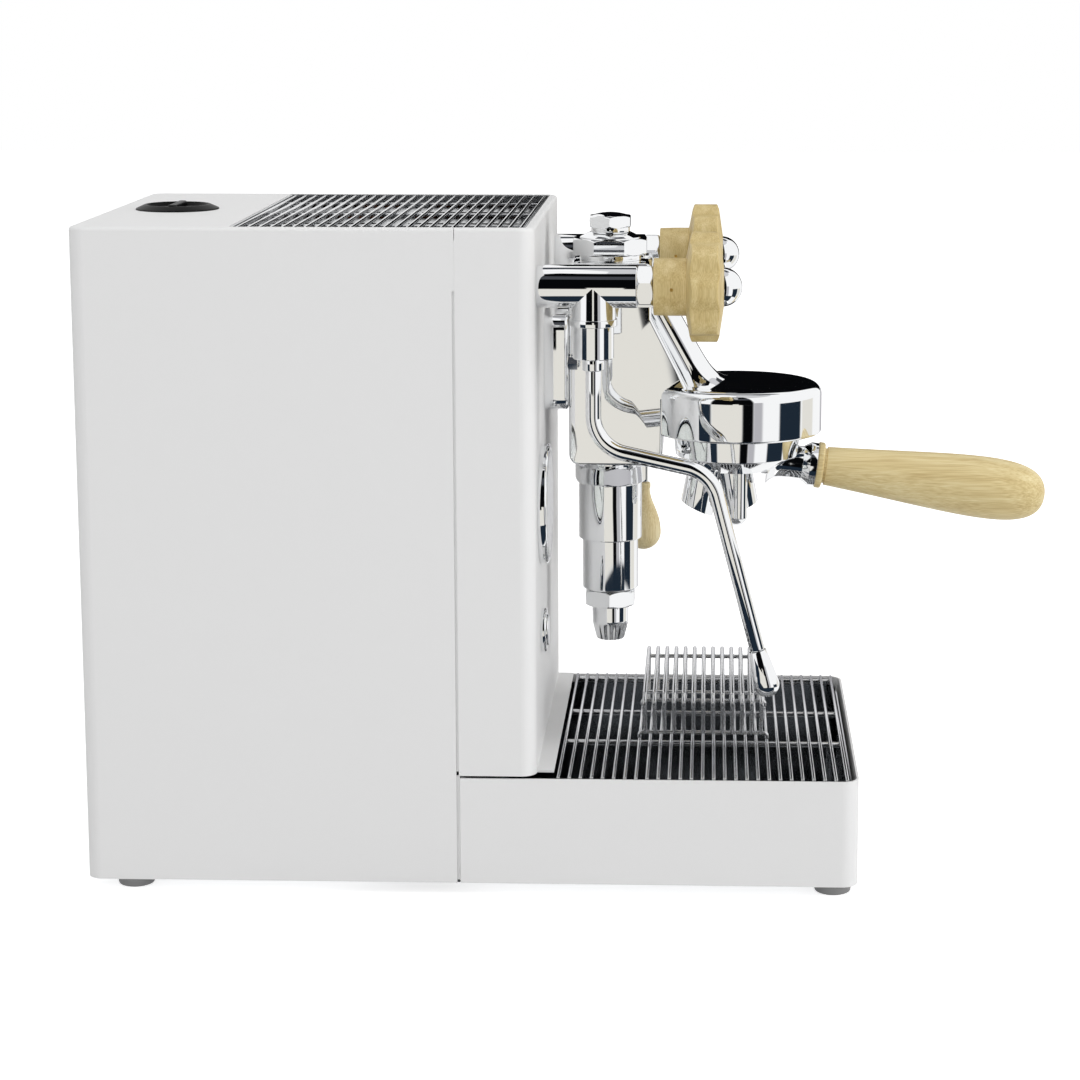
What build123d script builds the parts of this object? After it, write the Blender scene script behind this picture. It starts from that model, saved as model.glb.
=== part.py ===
"""Box-shaped espresso machine with one lever group, two valve wands and a drip tray.

Millimetres, +Z up, the front looks towards -Y, the machine stands on Z = 0.
The origin is under the middle of the whole machine, portafilter handle included.
"""
import os
from math import acos, cos, pi, radians, sin, tan

from build123d import *

os.makedirs("parts", exist_ok=True)

# Body
BODY_WIDTH = 220.0
BODY_DEPTH = 242.9
BODY_TOP = 358.3
FOOT_HEIGHT = 6.5
SHEET = 1.2
EDGE_BEND = 8.0
TOP_BEND = 2.0
SIDE_FLANGE = 41.1
SEAM_TIGHT = 0.3
SEAM_OPEN = 1.2
SEAM_TOP = 325.5
FREE_FIT = 0.3
RUNNING_FIT = 0.05

# Feet and base
FOOT_DIAMETER = 21.0
FOOT_INSET = 15.0
FRONT_FOOT_AHEAD = 158.7
BACK_FOOT_INSET = 24.0
BASE_SHEET = 1.5
RUNNER_X = 70.0
RUNNER_WIDTH = 12.0

# Drip tray
TRAY_REACH = 171.8
TRAY_RIM = 64.6
TRAY_FLOOR = 14.6
TRAY_CORNER = 9.0
TRAY_SHEET = 1.2
PAN_GAP = 2.0
PAN_SHEET = 0.8
WIRE = 2.0
WIRE_SIDES = 8
GRID_PITCH = 5.92
GRID_WIRES = 27
GRID_START = 11.5
GRID_ROD = 3.4
GRID_ROD_X = 31.0
WELD = 0.3
LIP_REACH = 9.0
PANEL_GAP = 1.4

# Cup stand on the tray grid
STAND_WIRES = 13
STAND_PITCH = 5.36
STAND_WIRE = 2.4
STAND_HALF = 60.0
STAND_FOOT_X = 33.5
STAND_HEIGHT = 31.5
STAND_BEND = 4.0
STAND_ROD = 2.4
STAND_ROD_X = 40.0
STAND_BAR_STEPS = 12
STAND_BAR_RISE = 3.4

# Cup warmer on the top
WARMER_BACK = 158.7
WARMER_FRONT = 4.3
WARMER_EDGE = 5.0
WARMER_SHEET = 1.0
WARMER_SLOTS = 5
WARMER_SLOT_WIDTH = 8.0
GRATE_WIRES = 26
GRATE_ROD = 2.6
GRATE_ROD_X = 70.0

# Water tank and its cap
CAP_DIAMETER = 46.0
CAP_HEIGHT = 2.4
CAP_FROM_BACK = 36.7
CAP_SKIRT = 5.0
CAP_WALL = 2.2
GRIP_WIDTH = 7.0
GRIP_HEIGHT = 2.2
GRIP_TAPER = 8.0
FILLER_HOLE = 40.0
TANK_WALL = 2.5
TANK_DEPTH = 64.0
TANK_SIDE_GAP = 10.0
TANK_RIGHT = 40.0
TANK_TOP_GAP = 12.0
TANK_BACK_GAP = 1.5

# Boiler and the pieces beside it
BOILER_RADIUS = 52.0
BOILER_HALF = 78.0
BOILER_BEHIND = 106.0
BOILER_SHARE = 0.748
BOILER_WALL = 2.5
BOILER_FLANGE = 6.0
BOILER_RIM = 5.0
ELEMENT_HEAD = 30.0
ELEMENT_LENGTH = 14.0
CRADLE_X = 48.0
CRADLE_SHEET = 3.0
CRADLE_WIDTH = 76.0
PUMP_DIAMETER = 46.0
PUMP_LENGTH = 84.0
PUMP_BLOCK = 52.0
CONTROL_WIDTH = 42.0
CONTROL_DEPTH = 90.0
CONTROL_HEIGHT = 110.0
CONTROL_SIDE_GAP = 7.0
PIPE_DIAMETER = 10.0
PIPE_SPREAD = 13.0

# Mains inlet and vents in the back
INLET_X = 62.0
INLET_Z = 44.0
INLET_WIDTH = 27.0
INLET_HEIGHT = 20.0
INLET_DEPTH = 22.0
INLET_WALL = 2.4
INLET_FLANGE = 2.5
INLET_PIN = 4.0
INLET_PIN_PITCH = 7.0
VENT_COUNT = 9
VENT_PITCH = 12.0
VENT_WIDTH = 4.0
VENT_LENGTH = 74.0
VENT_Z = 286.0

# Steam and hot-water valves
VALVE_X = 85.0
VALVE_Z = 325.6
VALVE_TUBE = 22.8
VALVE_REACH = 52.8
VALVE_TAIL = 14.0
VALVE_TAIL_LENGTH = 14.0
BRANCH_AHEAD = 29.6
BRANCH_DIAMETER = 22.6
BRANCH_BOTTOM = 287.4
BRANCH_RING = 25.2
BRANCH_RING_Z = 304.8
BRANCH_RING_HEIGHT = 3.8
SOCKET_DEPTH = 14.0
GLAND_FLATS = 20.6
GLAND_LENGTH = 8.3
STEM_DIAMETER = 8.0
STEM_DEPTH = 30.0

# Wooden knobs
HUB_DIAMETER = 30.5
HUB_LENGTH = 19.0
DISC_DIAMETER = 58.0
DISC_THICKNESS = 15.6
DISC_CROWN = 2.3
DISC_EDGE = 1.1
LOBES = 8
LOBE_DEPTH = 2.6
KNOB_CAP = 20.6
KNOB_CAP_REACH = 9.6
KNOB_SCREW = 2.0

# Wands
WAND_DIAMETER = 8.3
WAND_COLLAR = 11.8
WAND_COLLAR_BOTTOM = 281.0
WAND_BEND = 21.0
WAND_KNEE = 240.2
WAND_RUN = 62.5
WAND_RUN_DROP = 13.9
STEAM_LEG_REACH = 25.5
STEAM_LEG_DROP = 96.6
WATER_LEG_REACH = 10.0
WATER_LEG_DROP = 38.0
TIP_DIAMETER = 14.0
TIP_LENGTH = 26.0
TIP_NECK = 9.6

# Group
GROUP_AHEAD = 35.4
CASTING_BACK = 13.3
CASTING_FRONT = 58.6
CASTING_HALF = 22.0
CASTING_CORNER = 6.0
CASTING_EDGE = 1.5
CASTING_BOTTOM = 218.3
CASTING_TOP = 331.0
WEB_TOP = 300.5
WEB_FOOT = 79.4
WEB_REACH = 65.0
FLANGE_BOTTOM = 250.0
FLANGE_TOP = 303.0
FLANGE_HALF = 31.0
FLANGE_CORNER = 8.0
BELL_AHEAD = 106.3
BELL_DIAMETER = 94.6
BELL_TOP = 262.7
BELL_BOTTOM = 235.0
BELL_ROUND = 6.0
BELL_CHAMFER = 1.5
BELL_BORE = 79.0
BELL_LEDGE = 3.5
UNLOCK_ANGLE = 45.0
BELL_ROOF = 6.0
BELL_DISH = 3.0
BELL_DISH_RIM = 0.8
NECK_DIAMETER = 18.0
NECK_FLARE = 25.0
NECK_FLARE_TAPER = 30.0
NECK_TOP_AHEAD = 52.7
NECK_TOP_Z = 322.0
NECK_FOOT_AHEAD = 87.2
NECK_FOOT_Z = 259.7
GASKET_HEIGHT = 4.0
GASKET_BORE = 60.0
SCREEN_THICKNESS = 2.4
BOLT_HEAD = 8.0
BOLT_HEIGHT = 5.0
BOLT_X = 26.6

# Nuts over the group
TOP_NECK = 34.0
TOP_NECK_HEIGHT = 3.3
NUT_SIDES = 8
TOP_NUT_FLATS = 40.5
TOP_NUT_HEIGHT = 8.9
TOP_NUT_CROWN = 3.4
TOP_CROWN_TAPER = 60.0
TOP_CAP_FLATS = 22.4
TOP_CAP_RING = 21.5
TOP_CAP_RING_HEIGHT = 2.6
TOP_CAP_HEIGHT = 6.3
TOP_CAP_DOME = 2.0
CAP_DOME_TAPER = 70.0

# Lower chamber under the group
CHAMBER_NECK = 30.0
CHAMBER_NECK_HEIGHT = 2.6
CHAMBER_NUT_CORNERS = 40.2
CHAMBER_NUT_TURN = 8.5
CHAMBER_NUT_HEIGHT = 9.9
CHAMBER_UPPER = 35.5
CHAMBER_UPPER_HEIGHT = 32.1
CHAMBER_LOWER = 31.3
CHAMBER_LOWER_HEIGHT = 29.2
CHAMBER_ROUND = 1.2
DRAIN_NUT_FLATS = 27.2
DRAIN_NUT_HEIGHT = 9.6
NOZZLE_TOP = 20.6
NOZZLE_END = 15.4
NOZZLE_LENGTH = 19.9
NOZZLE_COLLAR = 10.2
NOZZLE_BORE = 6.0
FLUTES = 8
FLUTE_WIDTH = 3.0

# Lever
LEVER_AHEAD = 52.4
LEVER_Z = 245.0
LEVER_LEAN = 0.0
LEVER_X = 62.0
LEVER_BOSS = 23.0
LEVER_BOSS_LENGTH = 9.0
LEVER_SHAFT = 10.0
LEVER_SHAFT_DEPTH = 16.0
LEVER_HUB = 14.0
LEVER_HUB_HALF = 7.0
LEVER_ROD = 6.0
LEVER_ROD_LENGTH = 51.7
LEVER_KNOB_LENGTH = 40.0
LEVER_KNOB_DIAMETER = 20.6
LEVER_KNOB_NECK = 8.4

# Portafilter
BOWL_DIAMETER = 71.0
BOWL_WAIST = 68.0
BOWL_WALL_BOTTOM = 221.5
BOWL_BOTTOM = 213.5
BOWL_FLOOR_DIAMETER = 40.0
BASKET_DIAMETER = 61.0
BASKET_WALL = 0.8
BASKET_RIM = 67.0
BASKET_DEPTH = 21.0
EAR_REACH = 77.0
EAR_WIDTH = 18.0
EAR_HEIGHT = 6.0
SPOUT_SET_BACK = 9.4
SPOUT_SPREAD = 8.4
SPOUT_TUBE = 19.0
SPOUT_BORE = 13.0
SPOUT_LEAN = 11.0
SPOUT_LENGTH = 30.0
SPOUT_CUT = 26.0
SPOUT_CUT_DROP = 25.0
VENT_TUBE = 8.0
VENT_TUBE_X = 9.0
VENT_TUBE_AHEAD = 108.4
VENT_TUBE_LENGTH = 27.0
HANDLE_REACH = 278.9
HANDLE_TIP_Z = 198.9
HANDLE_DROP = 7.5
HANDLE_LENGTH = 128.9
HANDLE_RING = 25.7
HANDLE_RING_LENGTH = 3.7
HANDLE_GROOVE = 19.6
HANDLE_GROOVE_LENGTH = 1.6
HANDLE_START = 21.6
HANDLE_SWELL = 53.0
HANDLE_BELLY = 32.0
FERRULE_LENGTH = 8.0
FERRULE_DIAMETER = 24.3
ARM_DIAMETER = 18.6

# Pressure gauge and power button on the front panel
GAUGE_X = 58.0
GAUGE_Z = 204.0
GAUGE_DIAMETER = 65.0
GAUGE_PROUD = 5.0
GAUGE_RIM = 3.4
GAUGE_BODY = 58.0
GAUGE_BODY_DEPTH = 22.0
DIAL_THICKNESS = 1.0
DIAL_DEPTH = 6.0
LENS_THICKNESS = 1.6
NEEDLE_LENGTH = 20.0
NEEDLE_WIDTH = 2.0
NEEDLE_HUB = 7.0
NEEDLE_THICKNESS = 1.0
NEEDLE_REST = 45.0
BUTTON_X = 58.0
BUTTON_Z = 133.5
BUTTON_BEZEL = 24.0
BUTTON_DIAMETER = 17.0
BUTTON_PROUD = 3.0
BUTTON_TRAVEL = 2.0
BUTTON_BODY = 18.6
BUTTON_DEPTH = 16.0

# Places that follow from the sizes
BACK_Y = (BODY_DEPTH + HANDLE_REACH) / 2
FRONT_Y = BACK_Y - BODY_DEPTH
HALF_WIDTH = BODY_WIDTH / 2
warmer_half = HALF_WIDTH - WARMER_EDGE
tank_left = HALF_WIDTH - TANK_SIDE_GAP
control_x = HALF_WIDTH - CONTROL_SIDE_GAP - CONTROL_WIDTH / 2
boiler_z = BOILER_SHARE * BODY_TOP


def ahead(distance):
    """Y of a point that lies this far in front of the front panel's face."""
    return FRONT_Y - distance


def along(origin, direction):
    """Sketch plane through an axis that has no X part: its X is the radius and its Y runs along the axis."""
    start = Vector(*origin)
    run = Vector(*direction)
    return Plane(origin=start, x_dir=(1, 0, 0), z_dir=(0, -run.Z, run.Y))


def dome(radius, height, foot):
    """Arc of a spherical cap as (radius, height) points: its rim, a point half way and its pole."""
    ball = (radius**2 + height**2) / (2 * height)
    half = acos((ball - height) / ball) / 2
    return (radius, foot), (ball * sin(half), foot + height - ball + ball * cos(half)), (0, foot + height)


def quarter(side, top, radius):
    """Quarter round of a turned outline from its top to its side, as (radius, height) points."""
    slant = radius * (1 - sin(pi / 4))
    return (side - radius, top), (side - slant, top - slant), (side, top - radius)


def save(piece, name):
    """Label a finished piece and write it to its own file."""
    piece.part.label = name
    export_step(piece.part, f"parts/{name}.step")


# Base plate with the two runners that the drip tray slides on
seam_y = ahead(-SIDE_FLANGE)
base_back = BACK_Y - SHEET - FREE_FIT
base_front = ahead(TRAY_REACH - TRAY_SHEET - PAN_GAP)
base_half = HALF_WIDTH - SHEET - FREE_FIT
base_top = FOOT_HEIGHT + BASE_SHEET
tongue_half = HALF_WIDTH - TRAY_SHEET - PAN_GAP
runner_height = TRAY_FLOOR - base_top - FREE_FIT
with BuildPart() as base_frame:
    with BuildSketch(Plane.XY.offset(FOOT_HEIGHT)) as base_plan:
        with Locations((0, (base_back + seam_y) / 2)):
            Rectangle(2 * base_half, base_back - seam_y)
        fillet(base_plan.vertices().group_by(Axis.Y)[-1], radius=EDGE_BEND)
        with Locations((0, (seam_y + base_front) / 2)):
            Rectangle(2 * tongue_half, seam_y - base_front)
        fillet(base_plan.vertices().group_by(Axis.Y)[0], radius=TRAY_CORNER - TRAY_SHEET - PAN_GAP)
    extrude(amount=BASE_SHEET)
    with BuildSketch(Plane.XY.offset(base_top)):
        with Locations((-RUNNER_X, (seam_y + base_front) / 2), (RUNNER_X, (seam_y + base_front) / 2)):
            Rectangle(RUNNER_WIDTH, seam_y - base_front)
    extrude(amount=runner_height)
save(base_frame, "base_frame")

# Rubber feet
foot_x = HALF_WIDTH - FOOT_INSET
with BuildPart() as feet:
    with BuildSketch():
        with Locations((-foot_x, ahead(FRONT_FOOT_AHEAD)), (foot_x, ahead(FRONT_FOOT_AHEAD))):
            Circle(FOOT_DIAMETER / 2)
        with Locations((-foot_x, BACK_Y - BACK_FOOT_INSET), (foot_x, BACK_Y - BACK_FOOT_INSET)):
            Circle(FOOT_DIAMETER / 2)
    extrude(amount=FOOT_HEIGHT)
save(feet, "feet")

# Folded rear housing: sides, back and the rear part of the top
housing_front = seam_y + SEAM_TIGHT
warmer_back_y = ahead(-WARMER_BACK)
warmer_front_y = ahead(-WARMER_FRONT)
cap_y = BACK_Y - CAP_FROM_BACK
with BuildPart() as housing:
    with BuildSketch(Plane.XY.offset(FOOT_HEIGHT)) as housing_plan:
        with Locations((0, (housing_front + BACK_Y) / 2)):
            Rectangle(BODY_WIDTH, BACK_Y - housing_front)
        fillet(housing_plan.vertices().group_by(Axis.Y)[-1], radius=EDGE_BEND)
    extrude(amount=BODY_TOP - FOOT_HEIGHT)
    top_edges = housing.faces().sort_by(Axis.Z)[-1].edges()
    fillet(top_edges.filter_by(lambda e: e.center().Y > housing_front + SHEET), radius=TOP_BEND)
    housing_mouths = [housing.faces().sort_by(Axis.Z)[0], housing.faces().sort_by(Axis.Y)[0]]
    offset(amount=-SHEET, openings=housing_mouths)
    with BuildSketch(Plane.XY.offset(BODY_TOP)):
        with Locations((0, (housing_front + warmer_back_y) / 2)):
            Rectangle(2 * warmer_half, warmer_back_y - housing_front)
        with Locations((0, cap_y)):
            Circle(FILLER_HOLE / 2)
    extrude(amount=-2 * SHEET, mode=Mode.SUBTRACT)
    with BuildSketch(Plane.YZ.offset(-HALF_WIDTH)):
        with Locations((housing_front, FOOT_HEIGHT)):
            Rectangle(SEAM_OPEN, SEAM_TOP - FOOT_HEIGHT, align=(Align.MIN, Align.MIN))
    extrude(amount=BODY_WIDTH, mode=Mode.SUBTRACT)
    with BuildSketch(Plane.XZ.offset(-BACK_Y)):
        with Locations((0, VENT_Z)):
            with GridLocations(VENT_PITCH, VENT_PITCH, 1, VENT_COUNT):
                SlotOverall(VENT_LENGTH, VENT_WIDTH)
        with Locations((INLET_X, INLET_Z)):
            Rectangle(INLET_WIDTH, INLET_HEIGHT)
    extrude(amount=2 * SHEET, mode=Mode.SUBTRACT)
save(housing, "housing")

# Front panel: a folded sheet with two side flanges, a top strip and a lip over the tray
panel_bottom = TRAY_RIM + PANEL_GAP
tail_hole = VALVE_TAIL / 2 + FREE_FIT
group_pipe_z = (FLANGE_BOTTOM + FLANGE_TOP) / 2
with BuildPart() as front_panel:
    with BuildSketch(Plane.XY.offset(panel_bottom)) as panel_plan:
        with Locations((0, (FRONT_Y + seam_y) / 2)):
            Rectangle(BODY_WIDTH, SIDE_FLANGE)
        fillet(panel_plan.vertices().group_by(Axis.Y)[0], radius=EDGE_BEND)
    extrude(amount=BODY_TOP - panel_bottom)
    panel_top_edges = front_panel.faces().sort_by(Axis.Z)[-1].edges()
    fillet(panel_top_edges.filter_by(lambda e: e.center().Y < seam_y - SHEET), radius=TOP_BEND)
    panel_mouths = [front_panel.faces().sort_by(Axis.Z)[0], front_panel.faces().sort_by(Axis.Y)[-1]]
    offset(amount=-SHEET, openings=panel_mouths)
    with BuildSketch(Plane.XY.offset(BODY_TOP)):
        with Locations((0, (seam_y + warmer_front_y) / 2)):
            Rectangle(2 * warmer_half, seam_y - warmer_front_y)
    extrude(amount=-2 * SHEET, mode=Mode.SUBTRACT)
    with BuildSketch(Plane.XY.offset(panel_bottom)):
        with Locations((0, ahead(LIP_REACH / 2) + SHEET / 2)):
            Rectangle(BODY_WIDTH - 2 * EDGE_BEND, LIP_REACH + SHEET)
    extrude(amount=SHEET)
    with BuildSketch(Plane.XZ.offset(-FRONT_Y)):
        with Locations((-VALVE_X, VALVE_Z), (VALVE_X, VALVE_Z)):
            Circle(tail_hole)
        with Locations((0, group_pipe_z - PIPE_SPREAD), (0, group_pipe_z + PIPE_SPREAD)):
            Circle(PIPE_DIAMETER / 2 + FREE_FIT)
        with Locations((-GAUGE_X, GAUGE_Z)):
            Circle(GAUGE_BODY / 2 + FREE_FIT)
        with Locations((-BUTTON_X, BUTTON_Z)):
            Circle(BUTTON_BODY / 2 + FREE_FIT)
    extrude(amount=-2 * SHEET, mode=Mode.SUBTRACT)
save(front_panel, "front_panel")

# Cup warmer: a slotted pan let into the top, and the wire grate that lies in it
grate_wire_z = BODY_TOP - FREE_FIT - WIRE / 2
grate_rod_z = grate_wire_z - WIRE / 2 - GRATE_ROD / 2 + WELD
warmer_floor = grate_rod_z - GRATE_ROD / 2
warmer_mid = (warmer_back_y + warmer_front_y) / 2
warmer_length = warmer_back_y - warmer_front_y - 2 * FREE_FIT
warmer_width = 2 * (warmer_half - FREE_FIT)
slot_pitch = warmer_width / (WARMER_SLOTS + 1)
with BuildPart() as cup_tray:
    with BuildSketch(Plane.XY.offset(warmer_floor - WARMER_SHEET)):
        with Locations((0, warmer_mid)):
            Rectangle(warmer_width, warmer_length)
    extrude(amount=BODY_TOP - FREE_FIT - warmer_floor + WARMER_SHEET)
    offset(amount=-WARMER_SHEET, openings=cup_tray.faces().sort_by(Axis.Z)[-1])
    with BuildSketch(Plane.XY.offset(warmer_floor - WARMER_SHEET)):
        with Locations((0, warmer_mid)):
            with GridLocations(slot_pitch, warmer_length / 2, WARMER_SLOTS, 2):
                SlotOverall(warmer_length / 2 - 2 * WARMER_SLOT_WIDTH, WARMER_SLOT_WIDTH, rotation=90)
    extrude(amount=WARMER_SHEET, mode=Mode.SUBTRACT)
save(cup_tray, "cup_tray")

grate_half = warmer_half - FREE_FIT - WARMER_SHEET - FREE_FIT
grate_length = (GRATE_WIRES - 1) * GRID_PITCH
with BuildPart() as cup_grate:
    with BuildSketch(Plane.YZ.offset(-grate_half)):
        with Locations((warmer_mid, grate_wire_z)):
            with GridLocations(GRID_PITCH, 0, GRATE_WIRES, 1):
                RegularPolygon(WIRE / 2, WIRE_SIDES, rotation=180 / WIRE_SIDES)
    extrude(amount=2 * grate_half)
    with BuildSketch(Plane.XZ.offset(-warmer_mid - grate_length / 2 - WIRE / 2)):
        with Locations((0, grate_rod_z)):
            with GridLocations(GRATE_ROD_X, 0, 3, 1):
                RegularPolygon(GRATE_ROD / 2, WIRE_SIDES, rotation=180 / WIRE_SIDES)
    extrude(amount=grate_length + WIRE)
save(cup_grate, "cup_grate")

# Black cap of the filler hole, with a finger grip across it
with BuildPart() as tank_cap:
    with BuildSketch(Plane.XY.offset(BODY_TOP)):
        with Locations((0, cap_y)):
            Circle(CAP_DIAMETER / 2)
    extrude(amount=CAP_HEIGHT)
    fillet(tank_cap.edges().group_by(Axis.Z)[-1], radius=CAP_HEIGHT / 2)
    with BuildSketch(Plane.XY.offset(BODY_TOP + CAP_HEIGHT)):
        with Locations((0, cap_y)):
            SlotOverall(CAP_DIAMETER - 2 * GRIP_WIDTH, GRIP_WIDTH)
    extrude(amount=GRIP_HEIGHT, taper=GRIP_TAPER)
    with BuildSketch(Plane.XY.offset(BODY_TOP)):
        with Locations((0, cap_y)):
            Circle(FILLER_HOLE / 2 - FREE_FIT)
            Circle(FILLER_HOLE / 2 - FREE_FIT - CAP_WALL, mode=Mode.SUBTRACT)
    extrude(amount=-CAP_SKIRT)
save(tank_cap, "tank_cap")

# Water tank behind the boiler, with its neck under the filler hole
tank_x = (TANK_RIGHT - tank_left) / 2
tank_back = BACK_Y - SHEET - TANK_BACK_GAP
tank_top = BODY_TOP - SHEET - TANK_TOP_GAP
tank_neck_top = BODY_TOP - SHEET - FREE_FIT
with BuildPart() as water_tank:
    with BuildSketch(Plane.XY.offset(base_top)) as tank_plan:
        with Locations((tank_x, tank_back - TANK_DEPTH / 2)):
            Rectangle(tank_left + TANK_RIGHT, TANK_DEPTH)
        fillet(tank_plan.vertices(), radius=2 * TANK_WALL)
    extrude(amount=tank_top - base_top)
    with BuildSketch(Plane.XY.offset(tank_top - TANK_WALL)):
        with Locations((0, cap_y)):
            Circle(FILLER_HOLE / 2 + TANK_WALL)
    extrude(amount=tank_neck_top - tank_top + TANK_WALL)
    with BuildSketch(Plane.XY.offset(base_top + TANK_WALL)):
        with Locations((tank_x, tank_back - TANK_DEPTH / 2)):
            Rectangle(tank_left + TANK_RIGHT - 2 * TANK_WALL, TANK_DEPTH - 2 * TANK_WALL)
    extrude(amount=tank_top - base_top - 2 * TANK_WALL, mode=Mode.SUBTRACT)
    with BuildSketch(Plane.XY.offset(tank_neck_top)):
        with Locations((0, cap_y)):
            Circle(FILLER_HOLE / 2)
    extrude(amount=-TANK_TOP_GAP - 2 * TANK_WALL, mode=Mode.SUBTRACT)
save(water_tank, "water_tank")

# Boiler: a drawn copper drum, its bolted end and the heating element in it
boiler_y = ahead(-BOILER_BEHIND)
boiler_flange_radius = BOILER_RADIUS + BOILER_RIM
with BuildPart() as boiler:
    with BuildSketch(Plane.YZ.offset(-BOILER_HALF)):
        with Locations((boiler_y, boiler_z)):
            Circle(BOILER_RADIUS)
    extrude(amount=2 * BOILER_HALF)
    fillet(boiler.edges().sort_by(Axis.X)[0], radius=BOILER_RADIUS / 3)
    with BuildSketch(Plane.YZ.offset(BOILER_HALF)):
        with Locations((boiler_y, boiler_z)):
            Circle(boiler_flange_radius)
    extrude(amount=-BOILER_FLANGE)
    with BuildSketch(Plane.YZ.offset(BOILER_HALF)):
        with Locations((boiler_y, boiler_z)):
            Circle(BOILER_RADIUS - BOILER_WALL)
    extrude(amount=BOILER_RADIUS / 3 - 2 * BOILER_HALF, mode=Mode.SUBTRACT)
save(boiler, "boiler")

with BuildPart() as boiler_flange:
    with BuildSketch(Plane.YZ.offset(BOILER_HALF)):
        with Locations((boiler_y, boiler_z)):
            Circle(boiler_flange_radius)
    extrude(amount=BOILER_FLANGE)
    with BuildSketch(Plane.YZ.offset(BOILER_HALF + BOILER_FLANGE)):
        with Locations((boiler_y, boiler_z)):
            with PolarLocations(BOILER_RADIUS - BOILER_RIM, 6):
                RegularPolygon(BOILER_RIM, 6)
    extrude(amount=BOILER_RIM)
save(boiler_flange, "boiler_flange")

with BuildPart() as heating_element:
    with BuildSketch(Plane.YZ.offset(BOILER_HALF + BOILER_FLANGE)):
        with Locations((boiler_y, boiler_z)):
            RegularPolygon(ELEMENT_HEAD / 2, 6)
    extrude(amount=ELEMENT_LENGTH)
save(heating_element, "heating_element")

# Cradle that carries the boiler above the base plate
cradle_seat = BOILER_RADIUS + FREE_FIT
with BuildPart() as boiler_cradle:
    with BuildSketch(Plane.YZ.offset(-CRADLE_X)):
        with Locations((boiler_y, (base_top + boiler_z) / 2)):
            Rectangle(CRADLE_WIDTH, boiler_z - base_top)
        with Locations((boiler_y, boiler_z)):
            Circle(cradle_seat, mode=Mode.SUBTRACT)
    extrude(amount=CRADLE_SHEET)
    mirror(about=Plane.YZ)
    with BuildSketch(Plane.XY.offset(base_top)):
        with Locations((0, boiler_y)):
            Rectangle(2 * CRADLE_X, CRADLE_WIDTH)
    extrude(amount=CRADLE_SHEET)
save(boiler_cradle, "boiler_cradle")

# Vibration pump on the cradle's floor, and the box with the electronics
pump_floor = base_top + CRADLE_SHEET
pump_z = pump_floor + PUMP_BLOCK / 2
with BuildPart() as pump:
    with BuildSketch(Plane.XY.offset(pump_floor)):
        with Locations((0, boiler_y)):
            Rectangle(PUMP_BLOCK, PUMP_BLOCK)
    extrude(amount=PUMP_BLOCK)
    with BuildSketch(Plane.XZ.offset(-boiler_y - PUMP_LENGTH / 2)):
        with Locations((0, pump_z)):
            Circle(PUMP_DIAMETER / 2)
    extrude(amount=PUMP_LENGTH)
save(pump, "pump")

with BuildPart() as control_box:
    with BuildSketch(Plane.XY.offset(base_top)) as control_plan:
        with Locations((control_x, boiler_y)):
            Rectangle(CONTROL_WIDTH, CONTROL_DEPTH)
        fillet(control_plan.vertices(), radius=TOP_BEND)
    extrude(amount=CONTROL_HEIGHT)
save(control_box, "control_box")

# Two pipes that carry hot water from the boiler to the group and back
with BuildPart() as group_pipes:
    with BuildSketch(Plane.XZ.offset(-FRONT_Y)):
        with Locations((0, group_pipe_z - PIPE_SPREAD), (0, group_pipe_z + PIPE_SPREAD)):
            Circle(PIPE_DIAMETER / 2)
    extrude(amount=BOILER_RADIUS / 2 - BOILER_BEHIND)
    with BuildSketch(Plane.YZ.offset(-BOILER_HALF)):
        with Locations((boiler_y, boiler_z)):
            Circle(cradle_seat)
    extrude(amount=2 * BOILER_HALF, mode=Mode.SUBTRACT)
save(group_pipes, "group_pipes")

# Mains inlet: a socket whose flange sits behind the back sheet and whose three pins stand in its hollow
inlet_inner = BACK_Y - SHEET - INLET_DEPTH
inlet_floor = inlet_inner + INLET_WALL
with BuildPart() as power_inlet:
    with BuildSketch(Plane.XZ.offset(SHEET - BACK_Y)):
        with Locations((INLET_X, INLET_Z)):
            Rectangle(INLET_WIDTH + 2 * INLET_FLANGE, INLET_HEIGHT + 2 * INLET_FLANGE)
    extrude(amount=INLET_WALL)
    with BuildSketch(Plane.XZ.offset(-BACK_Y)):
        with Locations((INLET_X, INLET_Z)):
            Rectangle(INLET_WIDTH - 2 * FREE_FIT, INLET_HEIGHT - 2 * FREE_FIT)
    extrude(amount=SHEET + INLET_DEPTH)
    with BuildSketch(Plane.XZ.offset(-BACK_Y)):
        with Locations((INLET_X, INLET_Z)):
            Rectangle(INLET_WIDTH - 2 * INLET_WALL, INLET_HEIGHT - 2 * INLET_WALL)
    extrude(amount=BACK_Y - inlet_floor, mode=Mode.SUBTRACT)
    with BuildSketch(Plane.XZ.offset(-inlet_floor)):
        with Locations((INLET_X, INLET_Z)):
            with GridLocations(INLET_PIN_PITCH, INLET_PIN_PITCH, 3, 1):
                Rectangle(INLET_PIN / 2, INLET_PIN)
    extrude(amount=-INLET_DEPTH / 2)
save(power_inlet, "power_inlet")


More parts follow.
